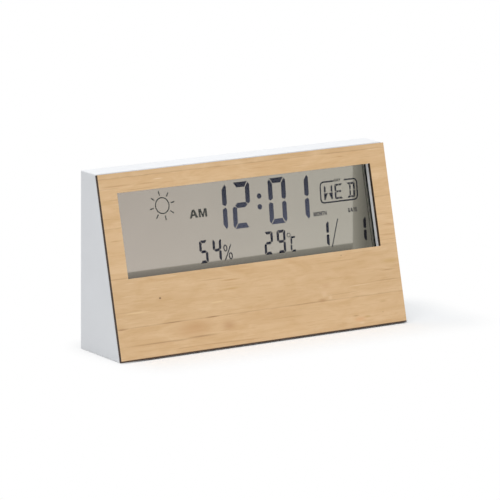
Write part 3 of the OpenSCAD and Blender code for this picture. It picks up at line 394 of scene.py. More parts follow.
# Figures: liquid crystal that has turned dark, drawn as thin shapes on the display's plane. The
# clock's bars are broad and dark blue, the signs and words thin and grey.
def slope_place(depth):
    """Where a drawing on the front's slope lies: x to the right, y up the slope, in metres."""
    origin = (SLOPE_FOOT - outward * depth) * MM
    turned = Matrix((Vector((1, 0, 0)), up_slope, outward)).transposed().to_4x4()
    return Matrix.Translation(origin) @ turned


def as_mesh(piece, place):
    """Turns a curve or words to a mesh, then applies its place."""
    bpy.ops.object.select_all(action="DESELECT")
    bpy.context.view_layer.objects.active = piece
    piece.select_set(True)
    bpy.ops.object.convert(target="MESH")
    piece = bpy.context.object
    piece.data.transform(place)
    return piece


def drawn_piece(name, outlines, place, thickness=0.02):
    """Closed flat outlines in mm, filled and made a mesh; an outline inside another is a hole."""
    shape = bpy.data.curves.new(name, "CURVE")
    shape.dimensions, shape.fill_mode = "2D", "BOTH"
    shape.extrude = thickness / 2 * MM
    for points in outlines:
        line = shape.splines.new("POLY")
        line.points.add(len(points) - 1)
        line.use_cyclic_u = True
        for point, (x, y) in zip(line.points, points):
            point.co = (x * MM, y * MM, 0, 1)
    piece = bpy.data.objects.new(name, shape)
    scene.collection.objects.link(piece)
    return as_mesh(piece, place)


def words(name, text, x, y, width, height, place, weight=0.0, thickness=0.02):
    """Words fitted to a box whose lower left corner is x, y, in mm; weight makes them bolder."""
    shape = bpy.data.curves.new(name, "FONT")
    shape.body, shape.offset = text, weight
    piece = bpy.data.objects.new(name, shape)
    scene.collection.objects.link(piece)
    piece = as_mesh(piece, Matrix.Identity(4))
    low = [min(v.co[i] for v in piece.data.vertices) for i in (0, 1)]
    size = [max(v.co[i] for v in piece.data.vertices) - low[i] for i in (0, 1)]
    for vertex in piece.data.vertices:
        up = (vertex.co.y - low[1]) / size[1] * height
        across = (vertex.co.x - low[0]) / size[0] * width
        vertex.co = Vector((x + across, y + up, 0)) * MM
    solid = piece.modifiers.new("thickness", "SOLIDIFY")
    solid.thickness, solid.offset = thickness * MM, 0
    bpy.ops.object.modifier_apply(modifier=solid.name)
    piece.data.transform(place)
    return piece


def dress(piece, material, body):
    """Gives a new piece its material and the body it rides on."""
    piece.data.materials.clear()
    piece.data.materials.append(material)
    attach(piece, body)
    return piece


SLANT = math.tan(math.radians(4.8))


def seven_bars(x, y, w, h, s, lit):
    """The lit bars of one figure: its lower left corner, width, height and bar width in mm."""
    m = h / 2
    a = [(0.42 * s, h), (w - 0.5 * s, h), (w - 1.12 * s, h - s), (1.12 * s, h - s)]
    b = [(w - s, h - 1.12 * s), (w - 0.34 * s, h - 0.18 * s), (w, h - 0.6 * s),
         (w, m + 0.52 * s), (w - 0.36 * s, m + 0.14 * s), (w - 1.0 * s, m + 0.46 * s)]
    g = [(0.6 * s, m - 0.02 * s), (1.18 * s, m + 0.5 * s), (w - 1.12 * s, m + 0.5 * s),
         (w - 0.58 * s, m + 0.02 * s), (w - 1.18 * s, m - 0.5 * s), (1.12 * s, m - 0.5 * s)]
    c = [(px, h - py) for px, py in b]
    bars = {"a": a, "b": b, "c": c, "d": [(px, h - py) for px, py in a],
            "e": [(w - px, py) for px, py in c], "f": [(w - px, py) for px, py in b], "g": g}
    return [[(x + px + py * SLANT, y + py) for px, py in bars[bar]] for bar in lit]


def ring(x, y, rx, ry, line, count=40):
    """Outer and inner outline of a ring."""
    return [[(x + (rx - d) * math.cos(2 * math.pi * i / count),
              y + (ry - d) * math.sin(2 * math.pi * i / count)) for i in range(count)]
            for d in (0, line)]


def stroke(x0, y0, x1, y1, line):
    """A straight line of a given width as an outline."""
    length = math.hypot(x1 - x0, y1 - y0)
    nx, ny = -(y1 - y0) / length * line / 2, (x1 - x0) / length * line / 2
    return [(x0 + nx, y0 + ny), (x0 - nx, y0 - ny), (x1 - nx, y1 - ny), (x1 + nx, y1 + ny)]


figures = slope_place(DISPLAY_DEPTH - 0.01)
# Painted light: the clock's bars are painted paler towards their foot, up to 2.6 times as bright.
clock_ink = mirror_film("dark_blue_liquid_crystal", "2D2E3A", "2F303C", 0.02, 46, 62, 2.6)
small_ink = mirror_film("dark_liquid_crystal", "2E2D38", "2E2D38", 0.02)
thin_ink = mirror_film("grey_liquid_crystal", "474643", "434340", 0.02)
word_ink = mirror_film("black_liquid_crystal", "33323A", "33323A", 0.02)
clock = []
for x, lit in ((-16.75, "bc"), (-5.37, "abged"), (12.46, "abcdef"), (23.83, "bc")):
    clock += seven_bars(x, 47.33, 8.7, 18.95, 2.15, lit)
clock += [ring(8.95, 59.57, 1.1, 1.1, 0)[0], ring(8.62, 55.15, 1.12, 1.12, 0)[0]]
dress(drawn_piece("clock_figures", clock, figures), clock_ink, "case")
small = []
for x, y, w, h, s, lit in (
        (-23.6, 35.15, 4.15, 9.3, 1.15, "afgcd"), (-17.15, 35.15, 4.15, 9.3, 1.15, "fgbc"),
        (8.1, 35.2, 4.3, 9.45, 1.15, "abged"), (14.35, 35.2, 4.3, 9.45, 1.15, "abcdfg"),
        (36.2, 35.3, 4.3, 10.7, 1.35, "bc"), (55.1, 35.5, 4.3, 10.4, 1.35, "bc")):
    small += seven_bars(x, y, w, h, s, lit)
dress(drawn_piece("small_figures", small, figures), small_ink, "case")

sun = ring(-37.98, 60.45, 3.45, 3.45, 0.48)
for k in range(8):
    turn = math.radians(10 + 45 * k)
    sun.append(stroke(-37.98 + 4.2 * math.cos(turn), 60.45 + 4.2 * math.sin(turn),
                      -37.98 + 6.1 * math.cos(turn), 60.45 + 6.1 * math.sin(turn), 0.48))
percent = (ring(-10.65, 40.2, 0.98, 1.45, 0.5, 24) + ring(-8.5, 36.8, 0.98, 1.45, 0.5, 24)
           + [stroke(-11.35, 35.3, -7.85, 41.4, 0.48)])
celsius = ring(20.85, 42.15, 0.95, 0.95, 0.32, 24) + [
    [(21.5, 40.95), (21.9, 41.5), (23.9, 41.5), (23.75, 40.65), (22.1, 40.65)],
    [(21.3, 38.4), (21.45, 40.5), (21.75, 40.85), (22.3, 40.4), (22.15, 38.4)],
    [(21.15, 38.0), (22.0, 38.0), (21.85, 36.2), (21.35, 35.7), (21.0, 36.0)],
    [(21.5, 35.1), (23.4, 35.1), (23.55, 35.95), (21.95, 35.95)]]
slash = [stroke(41.65, 35.0, 46.1, 46.3, 0.45)]
# Letters of the words, drawn 3 high: width, then outlines.
letters = {
    "A": (3.9, [[(0, 0), (1, 0), (1.3, 0.75), (2.5, 0.75), (2.8, 0), (3.9, 0), (2.55, 3),
                 (1.4, 3)], [(1.55, 1.35), (2.27, 1.35), (1.95, 2.3)]]),
    "D": (2.7, [[(0, 0), (1.7, 0), (2.7, 0.8), (2.7, 2.2), (1.7, 3), (0, 3)],
                [(0.8, 0.65), (1.45, 0.65), (1.9, 1.05), (1.9, 1.95), (1.45, 2.35), (0.8, 2.35)]]),
    "E": (2.3, [[(0, 0), (2.3, 0), (2.3, 0.65), (0.8, 0.65), (0.8, 1.2), (2.1, 1.2), (2.1, 1.8),
                 (0.8, 1.8), (0.8, 2.35), (2.3, 2.35), (2.3, 3), (0, 3)]]),
    "H": (2.75, [[(0, 0), (0.8, 0), (0.8, 1.15), (1.95, 1.15), (1.95, 0), (2.75, 0), (2.75, 3),
                  (1.95, 3), (1.95, 1.8), (0.8, 1.8), (0.8, 3), (0, 3)]]),
    "M": (3.85, [[(0, 0), (0.85, 0), (0.85, 1.95), (1.55, 0), (2.25, 0), (2.95, 1.95), (2.95, 0),
                  (3.85, 0), (3.85, 3), (2.65, 3), (1.9, 0.95), (1.2, 3), (0, 3)]]),
    "N": (2.95, [[(0, 0), (0.8, 0), (0.8, 1.9), (2.1, 0), (2.95, 0), (2.95, 3), (2.15, 3),
                  (2.15, 1.1), (0.85, 3), (0, 3)]]),
    "O": (3.1, [[(0.9, 0), (2.2, 0), (3.1, 0.8), (3.1, 2.2), (2.2, 3), (0.9, 3), (0, 2.2),
                 (0, 0.8)], [(1.15, 0.65), (1.95, 0.65), (2.3, 1.05), (2.3, 1.95), (1.95, 2.35),
                             (1.15, 2.35), (0.8, 1.95), (0.8, 1.05)]]),
    "T": (2.6, [[(0.9, 0), (1.7, 0), (1.7, 2.35), (2.6, 2.35), (2.6, 3), (0, 3), (0, 2.35),
                 (0.9, 2.35)]]),
    "Y": (3.0, [[(1.1, 0), (1.9, 0), (1.9, 1.2), (3.0, 3), (2.1, 3), (1.5, 1.95), (0.9, 3), (0, 3),
                 (1.1, 1.2)]]),
}


def lettering(text, x, y, width, height):
    """Outlines of a word fitted to a box whose lower left corner is x, y, in mm."""
    wide = sum(letters[letter][0] + 0.4 for letter in text) - 0.4
    outlines = []
    for letter in text:
        own_width, shapes = letters[letter]
        outlines += [[(x + px * width / wide, y + py * height / 3) for px, py in shape]
                     for shape in shapes]
        x += (own_width + 0.4) * width / wide
    return outlines


def rounded_frame(x0, y0, x1, y1, radius, line, gap):
    """A slanted frame with round corners, open at the top between the two gap places."""
    sides = []
    for inset in (0, line):
        points = [(gap[0], y1 - inset)]
        for cx, cy, start in ((x0 + radius, y1 - radius, 90), (x0 + radius, y0 + radius, 180),
                              (x1 - radius, y0 + radius, 270), (x1 - radius, y1 - radius, 0)):
            points += [(cx + (radius - inset) * math.cos(math.radians(start + 15 * k)),
                        cy + (radius - inset) * math.sin(math.radians(start + 15 * k)))
                       for k in range(7)]
        sides.append(points + [(gap[1], y1 - inset)])
    return [[(x + (y - y0) * SLANT, y) for x, y in sides[0] + sides[1][::-1]]]


weekday_frame = rounded_frame(38.6, 53.15, 57.7, 62.35, 2.0, 0.62, (45.9, 51.0))
left_up = [(0, 3.35), (0.05, 5.75), (0.35, 6.1), (0.88, 5.4), (0.88, 3.35)]
left_low = [(px, 6.3 - py) for px, py in left_up]
right_up = [(4.3 - px, py) for px, py in left_up]
right_low = [(4.3 - px, py) for px, py in left_low]
tops = [[(0.35, 6.3), (2.05, 6.3), (2.05, 5.5), (0.95, 5.5)],
        [(2.25, 6.3), (3.95, 6.3), (3.35, 5.5), (2.25, 5.5)]]
feet = [[(px, 6.3 - py) for px, py in bar] for bar in tops]
fill_left = [(0.0, 3.0), (1.9, 2.95), (0.55, 0.1), (0.0, 0.3)]
fill_right = [(4.3 - px, py) for px, py in fill_left]
day_letters = (
    (40.75, [left_up, fill_left, right_up, fill_right]),
    (46.1, [left_up, left_low] + tops + feet + [
        [(0.95, 2.75), (0.95, 3.55), (1.95, 3.55), (1.95, 2.75)],
        [(2.2, 2.75), (2.2, 3.55), (3.3, 3.55), (3.3, 2.75)]]),
    (52.1, [right_up, right_low] + tops + feet + [
        [(1.45, 3.3), (1.45, 5.4), (2.2, 5.4), (2.2, 3.3)],
        [(1.45, 0.9), (1.45, 3.0), (2.2, 3.0), (2.2, 0.9)]]))
weekday = [[(x + px + py * SLANT, 54.4 + py) for px, py in bar] for x, bars in day_letters
           for bar in bars]
for name, outlines, ink in (
        ("sun_sign", sun, thin_ink), ("unit_signs", percent + celsius, word_ink),
        ("slash_sign", slash, word_ink),
        ("half_day_word", lettering("AM", -25.75, 53.85, 8.5, 3.45), thin_ink),
        ("weekday_frame", weekday_frame, word_ink), ("weekday_word", weekday, word_ink),
        ("month_word", lettering("MONTH", 34.45, 48.4, 6.6, 1.75), word_ink),
        ("date_word", lettering("DATE", 51.9, 48.35, 4.5, 1.75), word_ink),
        ("day_word", lettering("DAY", 46.9, 61.7, 3.1, 1.2), thin_ink)):
    dress(drawn_piece(name, outlines, figures), ink, "case")

# Glass and mirror film: float glass 0.7 mm thick, green at its cut edge, with the crystal sealed
# between the sheets. The film behind them is silvered polyester, brushed by its coating rolls.
finish(clear_sheet("thin_float_glass", "E6F2EA", 1.5), "front_glass", "rear_glass")


def metal(name, code, roughness, stretch=(1, 1, 1), scratch=0.6, depth=0.003):
    """Bare or plated metal: even colour, drawn-out fine scratches, slightly uneven gloss."""
    material, tree, place = new_material(name)
    drawn = add(tree, "VectorMath", {0: place.outputs["Object"], 1: stretch}, operation="MULTIPLY")
    lines = add(tree, "TexNoise", {
        "Vector": drawn, "Scale": 1 / (scratch * MM), "Detail": 3.0, "Roughness": 0.6})
    rough = add(tree, "MapRange", {
        "Value": lines, "From Min": 0.3, "From Max": 0.7, "To Min": roughness * 0.75,
        "To Max": roughness * 1.25})
    tint = add(tree, "MapRange", {
        "Value": lines, "From Min": 0.3, "From Max": 0.7, "To Min": 0.94, "To Max": 1.04})
    base = add(tree, "VectorMath", {0: colour(code)[:3], "Scale": tint}, operation="SCALE")
    bump = add(tree, "Bump", {"Height": lines, "Strength": 1.0, "Distance": depth * MM})
    shader = add(tree, "BsdfPrincipled", {
        "Base Color": base, "Metallic": 1.0, "Roughness": rough, "Normal": bump})
    add(tree, "OutputMaterial", {"Surface": shader})
    return material


finish(metal("silvered_film", "C9C8C4", 0.3, stretch=(0.03, 1, 1)), "reflector")

# Display frame: grey ABS, moulded, that holds the glass against the case and carries the board.
# Its lip shows as a dark margin at the window's right end.
finish(moulded_plastic("grey_frame_abs", "A09D93", 0.5), "lcd_frame")

# Contact strips: silicone rubber in thin layers, clear and carbon-black in turn, which join the
# glass to the board. The real layers are 0.1 mm; here they are 0.5 mm, so that they show.
material, tree, place = new_material("layered_silicone")
axes = add(tree, "SeparateXYZ", {0: place.outputs["Object"]})
layer = add(tree, "Math", {0: axes.outputs[0], 1: 1 / (0.5 * MM)}, operation="MULTIPLY")
layer = add(tree, "Math", {0: layer}, operation="FRACT")
layer = add(tree, "Math", {0: layer, 1: 0.5}, operation="GREATER_THAN")
base = add(tree, "Mix", {0: layer, 6: colour("D9A79B"), 7: colour("1E1B1B")}, data_type="RGBA")
shader = add(tree, "BsdfPrincipled", {"Base Color": base, "Roughness": 0.55, "IOR": 1.41})
add(tree, "OutputMaterial", {"Surface": shader})
finish(material, "contact_strips")


# Boards: glass-fibre sheet under green solder mask, with copper tracks showing as paler lines and
# tinned holes. The mask is glossy and dips between the tracks.
TRACK_BLOCK, HOLE_PITCH = 7, 4.3


def printed_board(name, lean):
    """Solder mask over tracks in blocks and tinned holes, on a board that leans by an angle."""
    material, tree, place = new_material(name)
    flat = add(tree, "Mapping", {
        "Vector": place.outputs["Object"], "Rotation": (lean - math.pi / 2, 0, 0),
        "Scale": (1000, 1000, 1000)})
    flat = add(tree, "VectorMath", {0: flat, 1: (1, 1, 0)}, operation="MULTIPLY")
    block = add(tree, "TexVoronoi", {
        "Vector": flat, "Scale": 1 / TRACK_BLOCK, "Randomness": 0.8}, distance="CHEBYCHEV")
    rows = add(tree, "Math", {0: block, 1: 6.0}, operation="MULTIPLY")
    rows = add(tree, "Math", {0: rows}, operation="FRACT")
    track = add(tree, "MapRange", {"Value": rows, "From Min": 0.55, "From Max": 0.62})
    spots = add(tree, "TexVoronoi", {"Vector": flat, "Scale": 1 / HOLE_PITCH})
    hole = add(tree, "Math", {0: spots, 1: 0.085}, operation="LESS_THAN")
    mask = add(tree, "Mix", {0: track, 6: colour("1B5A3A"), 7: colour("2B7A4E")}, data_type="RGBA")
    base = add(tree, "Mix", {0: hole, 6: mask, 7: colour("C9C6BC")}, data_type="RGBA")
    rough = add(tree, "MapRange", {"Value": hole, "To Min": 0.22, "To Max": 0.35})
    bump = add(tree, "Bump", {"Height": track, "Strength": 1.0, "Distance": 0.035 * MM})
    shader = add(tree, "BsdfPrincipled", {
        "Base Color": base, "Metallic": hole, "Roughness": rough, "IOR": 1.55, "Normal": bump})
    add(tree, "OutputMaterial", {"Surface": shader})
    return material


finish(printed_board("green_main_board", LEAN), "main_board")
BOARD_BACK = 10.05


def rear_slope_place(depth):
    """Where a drawing on the board's back lies: read from behind, up the slope, in metres."""
    origin = (SLOPE_FOOT - outward * depth) * MM
    turned = Matrix((Vector((-1, 0, 0)), up_slope, -outward)).transposed().to_4x4()
    return Matrix.Translation(origin) @ turned


# Board print: white letters that name the places for the leads and parts, in matt epoxy ink that
# is screened on the solder mask.
white_print = moulded_plastic("white_board_print", "E9EAE6", 0.6, grain=0.2, depth=0.002)
board_print = rear_slope_place(BOARD_BACK + 0.01)
for name, text, x, y, width, height in (
        ("mark_positive", "B+", -43.6, 35.9, 1.9, 1.3),
        ("mark_negative", "B-", -48.6, 32.9, 1.9, 1.3),
        ("mark_buzzer", "BZ", 33.1, 59.8, 1.9, 1.3), ("mark_crystal", "Y1", 24.6, 41.5, 1.7, 1.2),
        ("mark_humidity", "RH", -50.9, 65.2, 1.9, 1.3), ("mark_heat", "TH", -43.4, 58.6, 1.9, 1.3),
        ("mark_chip", "U1", 6.9, 47.6, 1.9, 1.3)):
    dress(words(name, text, -x - width, y, width, height, board_print, 0.01), white_print, "case")

# Processor: a bare chip bonded to the board under a drop of black epoxy, which set glossy and a
# little uneven.
material, tree, place = new_material("black_epoxy_drop")
skin = add(tree, "TexNoise", {
    "Vector": place.outputs["Object"], "Scale": 1 / (4 * MM), "Detail": 1.0})
rough = add(tree, "MapRange", {"Value": skin, "To Min": 0.14, "To Max": 0.3})
bump = add(tree, "Bump", {"Height": skin, "Strength": 1.0, "Distance": 0.15 * MM})
shader = add(tree, "BsdfPrincipled", {
    "Base Color": colour("131315"), "IOR": 1.57, "Roughness": rough, "Normal": bump})
add(tree, "OutputMaterial", {"Surface": shader})
finish(material, "processor_cap")

# Crystal: a watch crystal in a drawn can of tinned steel, whose skin is satin. It lies flat on the
# board and is held by its soldered legs.
finish(metal("tinned_steel_can", "CFCDC6", 0.28, stretch=(1, 0.1, 0.1)), "crystal")

# Capacitors: aluminium cans in a dark blue sleeve, whose pale stripe marks the negative side. The
# can's end is bare, with the cross that lets it vent.
material, tree, place = new_material("sleeved_aluminium_can")
end = add(tree, "VectorMath", {0: place.outputs["Normal"], 1: -outward}, operation="DOT_PRODUCT")
end = add(tree, "Math", {0: end, 1: 0.9}, operation="GREATER_THAN")
side = add(tree, "SeparateXYZ", {0: place.outputs["Normal"]})
stripe = add(tree, "Math", {0: side.outputs[0], 1: 0.86}, operation="GREATER_THAN")
sleeve = add(tree, "Mix", {0: stripe, 6: colour("1F2A4A"), 7: colour("A9B0BC")}, data_type="RGBA")
base = add(tree, "Mix", {0: end, 6: sleeve, 7: colour("D5D6D8")}, data_type="RGBA")
shader = add(tree, "BsdfPrincipled", {
    "Base Color": base, "Metallic": end, "Roughness": 0.34, "IOR": 1.5})
add(tree, "OutputMaterial", {"Surface": shader})
finish(material, "board_capacitors")

# Humidity sensor: a moulded white polystyrene cap with slots, over the film that takes up
# moisture. It stands on the board behind the vents.
finish(moulded_plastic("white_polystyrene", "E3E2DA", 0.38), "humidity_sensor")

# Thermistor: a bead dipped in black epoxy, which sets glossy, on two tinned wires. Soldered to the
# board, they hold the bead off it in the air from the vents.
WIRE_LENGTH = 2.1
wire_end = (SLOPE_FOOT.dot(outward) - BOARD_BACK - WIRE_LENGTH) * MM
material, tree, place = new_material("dipped_bead_and_wires")
lift = add(tree, "VectorMath", {0: place.outputs["Object"], 1: outward}, operation="DOT_PRODUCT")
wire = add(tree, "Math", {0: lift, 1: wire_end}, operation="GREATER_THAN")
base = add(tree, "Mix", {0: wire, 6: colour("1C1C20"), 7: colour("C8C6BE")}, data_type="RGBA")
shader = add(tree, "BsdfPrincipled", {
    "Base Color": base, "Metallic": wire, "Roughness": 0.3, "IOR": 1.55})
add(tree, "OutputMaterial", {"Surface": shader})
finish(material, "thermistor")

# Screws: nickel-plated steel with cross slots. The plating is bright, with the faint marks of the
# barrel in which it was made.
screw_steel = metal("nickel_plated_steel", "C4C1B8", 0.26)
finish(screw_steel, "board_screws", "key_board_screws", "cover_screws")

# Key board: a small upright board of the same glass-fibre sheet behind the keys, with one tact
# switch for each. Two screws hold it to the case.
finish(printed_board("green_key_board", 0.0), "key_board")

# Switches: a moulded black nylon body under a stamped lid of tinned steel, and an ivory acetal
# plunger in each. Their legs are soldered to the key board.
LID_Y = 11.3
material, tree, place = new_material("nylon_body_tinned_lid")
axes = add(tree, "SeparateXYZ", {0: place.outputs["Object"]})
lid = add(tree, "Math", {0: axes.outputs[1], 1: LID_Y * MM}, operation="GREATER_THAN")
base = add(tree, "Mix", {0: lid, 6: colour("1D1D1F"), 7: colour("CBC9C2")}, data_type="RGBA")
skin = add(tree, "TexNoise", {"Vector": place.outputs["Object"], "Scale": 1 / (0.3 * MM)})
bump = add(tree, "Bump", {"Height": skin, "Strength": 0.6, "Distance": 0.004 * MM})
shader = add(tree, "BsdfPrincipled", {
    "Base Color": base, "Metallic": lid, "Roughness": 0.36, "IOR": 1.53, "Normal": bump})
add(tree, "OutputMaterial", {"Surface": shader})
finish(material, "switch_bodies")
finish(moulded_plastic("ivory_acetal", "DEDACD", 0.35), "mode_plunger", "set_plunger",
       "up_plunger", "down_plunger", "unit_plunger")


# Ribbon cable: fifteen fine wires side by side in grey vinyl, the first one red. It is soldered to
# the main board and to the key board.
def cubic(start, leave, start_arm, end, arrive, end_arm, stub, count=30):
    """Points in mm of a lead: straight out of both ends, one smooth curve between them."""
    start, end, leave, arrive = (Vector(v) for v in (start, end, leave, arrive))
    a, d = start + leave * stub, end + arrive * stub
    b, c = a + leave * start_arm, d + arrive * end_arm
    points = [start]
    for i in range(count + 1):
        t = i / count
        points.append(a * (1 - t) ** 3 + b * 3 * t * (1 - t) ** 2 + c * 3 * t * t * (1 - t)
                      + d * t ** 3)
    return points + [end]


def wires(name, paths, radius, sides=8):
    """Round wires with closed ends along paths in mm, as one mesh."""
    shape = bpy.data.curves.new(name, "CURVE")
    shape.dimensions, shape.use_fill_caps = "3D", True
    shape.bevel_depth, shape.bevel_resolution = radius * MM, (sides - 4) // 2
    for points in paths:
        line = shape.splines.new("POLY")
        line.points.add(len(points) - 1)
        for point, place in zip(line.points, points):
            point.co = (*(Vector(place) * MM), 1)
    piece = bpy.data.objects.new(name, shape)
    scene.collection.objects.link(piece)
    piece = as_mesh(piece, Matrix.Identity(4))
    bpy.ops.object.mode_set(mode="EDIT")
    bpy.ops.mesh.select_all(action="SELECT")
    bpy.ops.mesh.remove_doubles(threshold=0.000001)
    bpy.ops.mesh.normals_make_consistent(inside=False)
    bpy.ops.object.mode_set(mode="OBJECT")
    bpy.ops.object.shade_smooth_by_angle(angle=math.radians(50))
    return piece


def on_slope(x, v, depth):
    """A point in mm from its place on the front's slope and its depth behind the bamboo."""
    return SLOPE_FOOT + Vector((x, 0, 0)) + up_slope * v - outward * depth


def board_v(z):
    """How far up the slope the board's back is at a height z, in mm."""
    return (z - SLOPE_FOOT.z + BOARD_BACK * math.sin(LEAN)) / math.cos(LEAN)


RIBBON_X, CORE_PITCH, CORES = -24, 0.6, 15
material, tree, place = new_material("grey_vinyl_ribbon")
axes = add(tree, "SeparateXYZ", {0: place.outputs["Object"]})
first_core = (RIBBON_X - (CORES / 2 - 1) * CORE_PITCH) * MM
first = add(tree, "Math", {0: axes.outputs[0], 1: first_core}, operation="LESS_THAN")
base = add(tree, "Mix", {0: first, 6: colour("A9ABAE"), 7: colour("B5352E")}, data_type="RGBA")
skin = add(tree, "TexNoise", {"Vector": place.outputs["Object"], "Scale": 1 / (0.8 * MM)})
bump = add(tree, "Bump", {"Height": skin, "Strength": 0.5, "Distance": 0.01 * MM})
shader = add(tree, "BsdfPrincipled", {
    "Base Color": base, "Roughness": 0.45, "IOR": 1.53, "Normal": bump})
add(tree, "OutputMaterial", {"Surface": shader})
paths = []
for i in range(CORES):
    x = RIBBON_X + (i - CORES // 2) * CORE_PITCH
    paths.append(cubic(on_slope(x, board_v(34.0), BOARD_BACK), -outward, 3,
                       (x, 8.25, 42.0), (0, -1, 0), 3, 0.7))
ribbon = wires("ribbon_wires", paths, 0.31)
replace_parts(dress(ribbon, material, "case"), "ribbon_cable")

# Rear cover: one ABS moulding with the battery bay, the keys' trough and the sound and air holes.
# Three hooks hold its top edge and two screws its foot. Its skin is the case's.
finish(white_abs, "rear_cover", "battery_door", "battery_door_latch")

# Keys: five ABS caps in a softer, slightly greyer white, polished on top by use. Each rides on its
# plunger and moves in 0.3 mm.
finish(moulded_plastic("smooth_white_abs", "E3E5E8", 0.3, grain=0.6, depth=0.003), "mode_key",
       "set_key", "up_key", "down_key", "unit_key")


def rear_place(y):
    """Where a drawing on an upright face at y lies: read from behind, in metres."""
    turned = Matrix(((-1, 0, 0), (0, 0, 1), (0, 1, 0))).transposed().to_4x4()
    return Matrix.Translation((0, y * MM, 0)) @ turned


# Key names: grey pad print on the cover over each key. The ink is matt and lies on the skin, a
# hundredth of a millimetre thick.
grey_print = moulded_plastic("grey_pad_print", "6E7074", 0.6, grain=0.2, depth=0.002)
cover_print = rear_place(15.755)
for name, text, key_x, width in (("mode", "MODE", -26, 6.2), ("set", "SET", -13, 4.3),
                                 ("up", "UP", 0, 2.9), ("down", "DOWN", 13, 6.4),
                                 ("unit", "°C/°F", 26, 5.8)):
    dress(words(name + "_print", text, -key_x - width / 2, 50.5, width, 1.75, cover_print,
                thickness=0.01), grey_print, "case")

# Sound disc: a plate of rolled brass with a fired ceramic disc on it, silvered. It is glued into a
# ring behind the seven holes of the cover.
buzzer_x, buzzer_y, buzzer_z = 48, 12.5, 55
finish(metal("rolled_brass", "C9A254", 0.3, stretch=(0.1, 1, 1)), "buzzer_plate")
material, tree, place = new_material("silvered_ceramic")
off = add(tree, "VectorMath", {
    0: place.outputs["Object"],
    1: Vector((buzzer_x, buzzer_y, buzzer_z)) * MM}, operation="DISTANCE")
margin = add(tree, "Math", {0: off, 1: 5.4 * MM}, operation="GREATER_THAN")
base = add(tree, "Mix", {0: margin, 6: colour("D4D2CC"), 7: colour("CFC6AE")}, data_type="RGBA")
silver = add(tree, "Math", {0: 1.0, 1: margin}, operation="SUBTRACT")
shader = add(tree, "BsdfPrincipled", {"Base Color": base, "Metallic": silver, "Roughness": 0.42})
add(tree, "OutputMaterial", {"Surface": shader})
finish(material, "buzzer_ceramic")


def vinyl(name, code):
    """Soft extruded vinyl insulation with a faint ripple along it."""
    return moulded_plastic(name, code, 0.38, grain=0.9, depth=0.012)


# Buzzer leads: thin stranded wire in red and black vinyl, stripped and soldered at both ends. They
# run straight ahead from the sound disc to the board.
red_vinyl, black_vinyl = vinyl("red_vinyl", "B32B25"), vinyl("black_vinyl", "232427")
solder = metal("tin_solder", "C6C6C2", 0.24)


def soldered_lead(name, path, radius, colouring):
    """A stripped lead: the insulation, and its bare ends with the cones of solder on them."""
    sleeve = dress(wires(name + "_insulation", [path[2:-2]], radius, 12), colouring, "case")
    ends = wires(name + "_bare_ends", [path[:4], path[-4:]], radius * 0.45)
    for place, ahead in ((path[0], path[1]), (path[-1], path[-2])):
        along = (Vector(ahead) - Vector(place)).normalized()
        bpy.ops.mesh.primitive_cone_add(vertices=16, radius1=radius * 1.5 * MM,
                                        radius2=radius * 0.5 * MM, depth=radius * 1.2 * MM,
                                        location=(Vector(place) + along * radius * 0.6) * MM,
                                        rotation=along.to_track_quat("Z", "Y").to_euler())
        cone = bpy.context.object
        bpy.ops.object.transform_apply(location=True, rotation=True, scale=True)
        bpy.ops.object.mode_set(mode="EDIT")
        bpy.ops.mesh.select_all(action="SELECT")
        bpy.ops.mesh.bevel(offset=0.06 * MM, segments=2)
        bpy.ops.object.mode_set(mode="OBJECT")
        ends.select_set(True)
        cone.select_set(True)
        bpy.context.view_layer.objects.active = ends
        bpy.ops.object.join()
    bpy.ops.object.shade_smooth_by_angle(angle=math.radians(40))
    dress(ends, solder, "case")
    return sleeve, ends


into_board = Vector((0, math.cos(LEAN), -math.sin(LEAN)))
pieces = []
for side, up, lift, colouring, name in (
        (3.5, -2, -0.1, red_vinyl, "buzzer_red"), (6, 5, 0.15, black_vinyl, "buzzer_black")):
    path = cubic((buzzer_x - side, buzzer_y + lift, buzzer_z + up), (0, -1, 0), 2.4,
                 on_slope(34, board_v(buzzer_z + up), BOARD_BACK), into_board, 2.4, 0.6)
    pieces += soldered_lead(name, path, 0.46, colouring)
for piece in pieces:
    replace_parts(piece, "buzzer_leads")

# Contacts: three plates of nickel-plated spring steel in the bay's end walls. One joins the two
# cells, the others have tabs for the leads.
finish(metal("nickel_plated_strip", "CBC8BD", 0.24, stretch=(1, 1, 0.08)), "contact_bridge",
       "contact_positive", "contact_negative")

# Springs: conical coils of nickel-plated wire 0.5 mm thick, four turns from plate to cell, with
# a closed turn flat on the plate and a half turn flat on the cell.
CELL_Y, LOWER_ROW, UPPER_ROW = 8.7, 10.55, 21.65
PLATE_X, CELL_END_X, WIDE, NARROW, TURNS = 25.35, 20.15, 3.2, 2.2, 4


def coil_point(end, x, radius, angle, row):
    """A point in mm of a coil round a cell's axis; end is 1 on the right and -1 on the left."""
    return end * x, CELL_Y + radius * math.cos(angle), row + radius * math.sin(angle)


spring_wire = metal("nickel_plated_wire", "C9C6BC", 0.22)
for name, end, row in (("spring_bridge", 1, UPPER_ROW), ("spring_negative", -1, LOWER_ROW)):
    path = [coil_point(end, PLATE_X, WIDE, math.radians(-300 + 7.5 * i), row) for i in range(41)]
    for i in range(1, 193):
        t = i / 192
        path.append(coil_point(end, PLATE_X + (CELL_END_X - PLATE_X) * t,
                               WIDE + (NARROW - WIDE) * t, 2 * math.pi * TURNS * t, row))
    for i in range(1, 25):
        path.append(coil_point(end, CELL_END_X, NARROW - 0.012 * i, math.radians(7.5 * i), row))
    spring = wires(name + "_wire", [path], 0.25, 10)
    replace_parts(dress(spring, spring_wire, "case"), name)

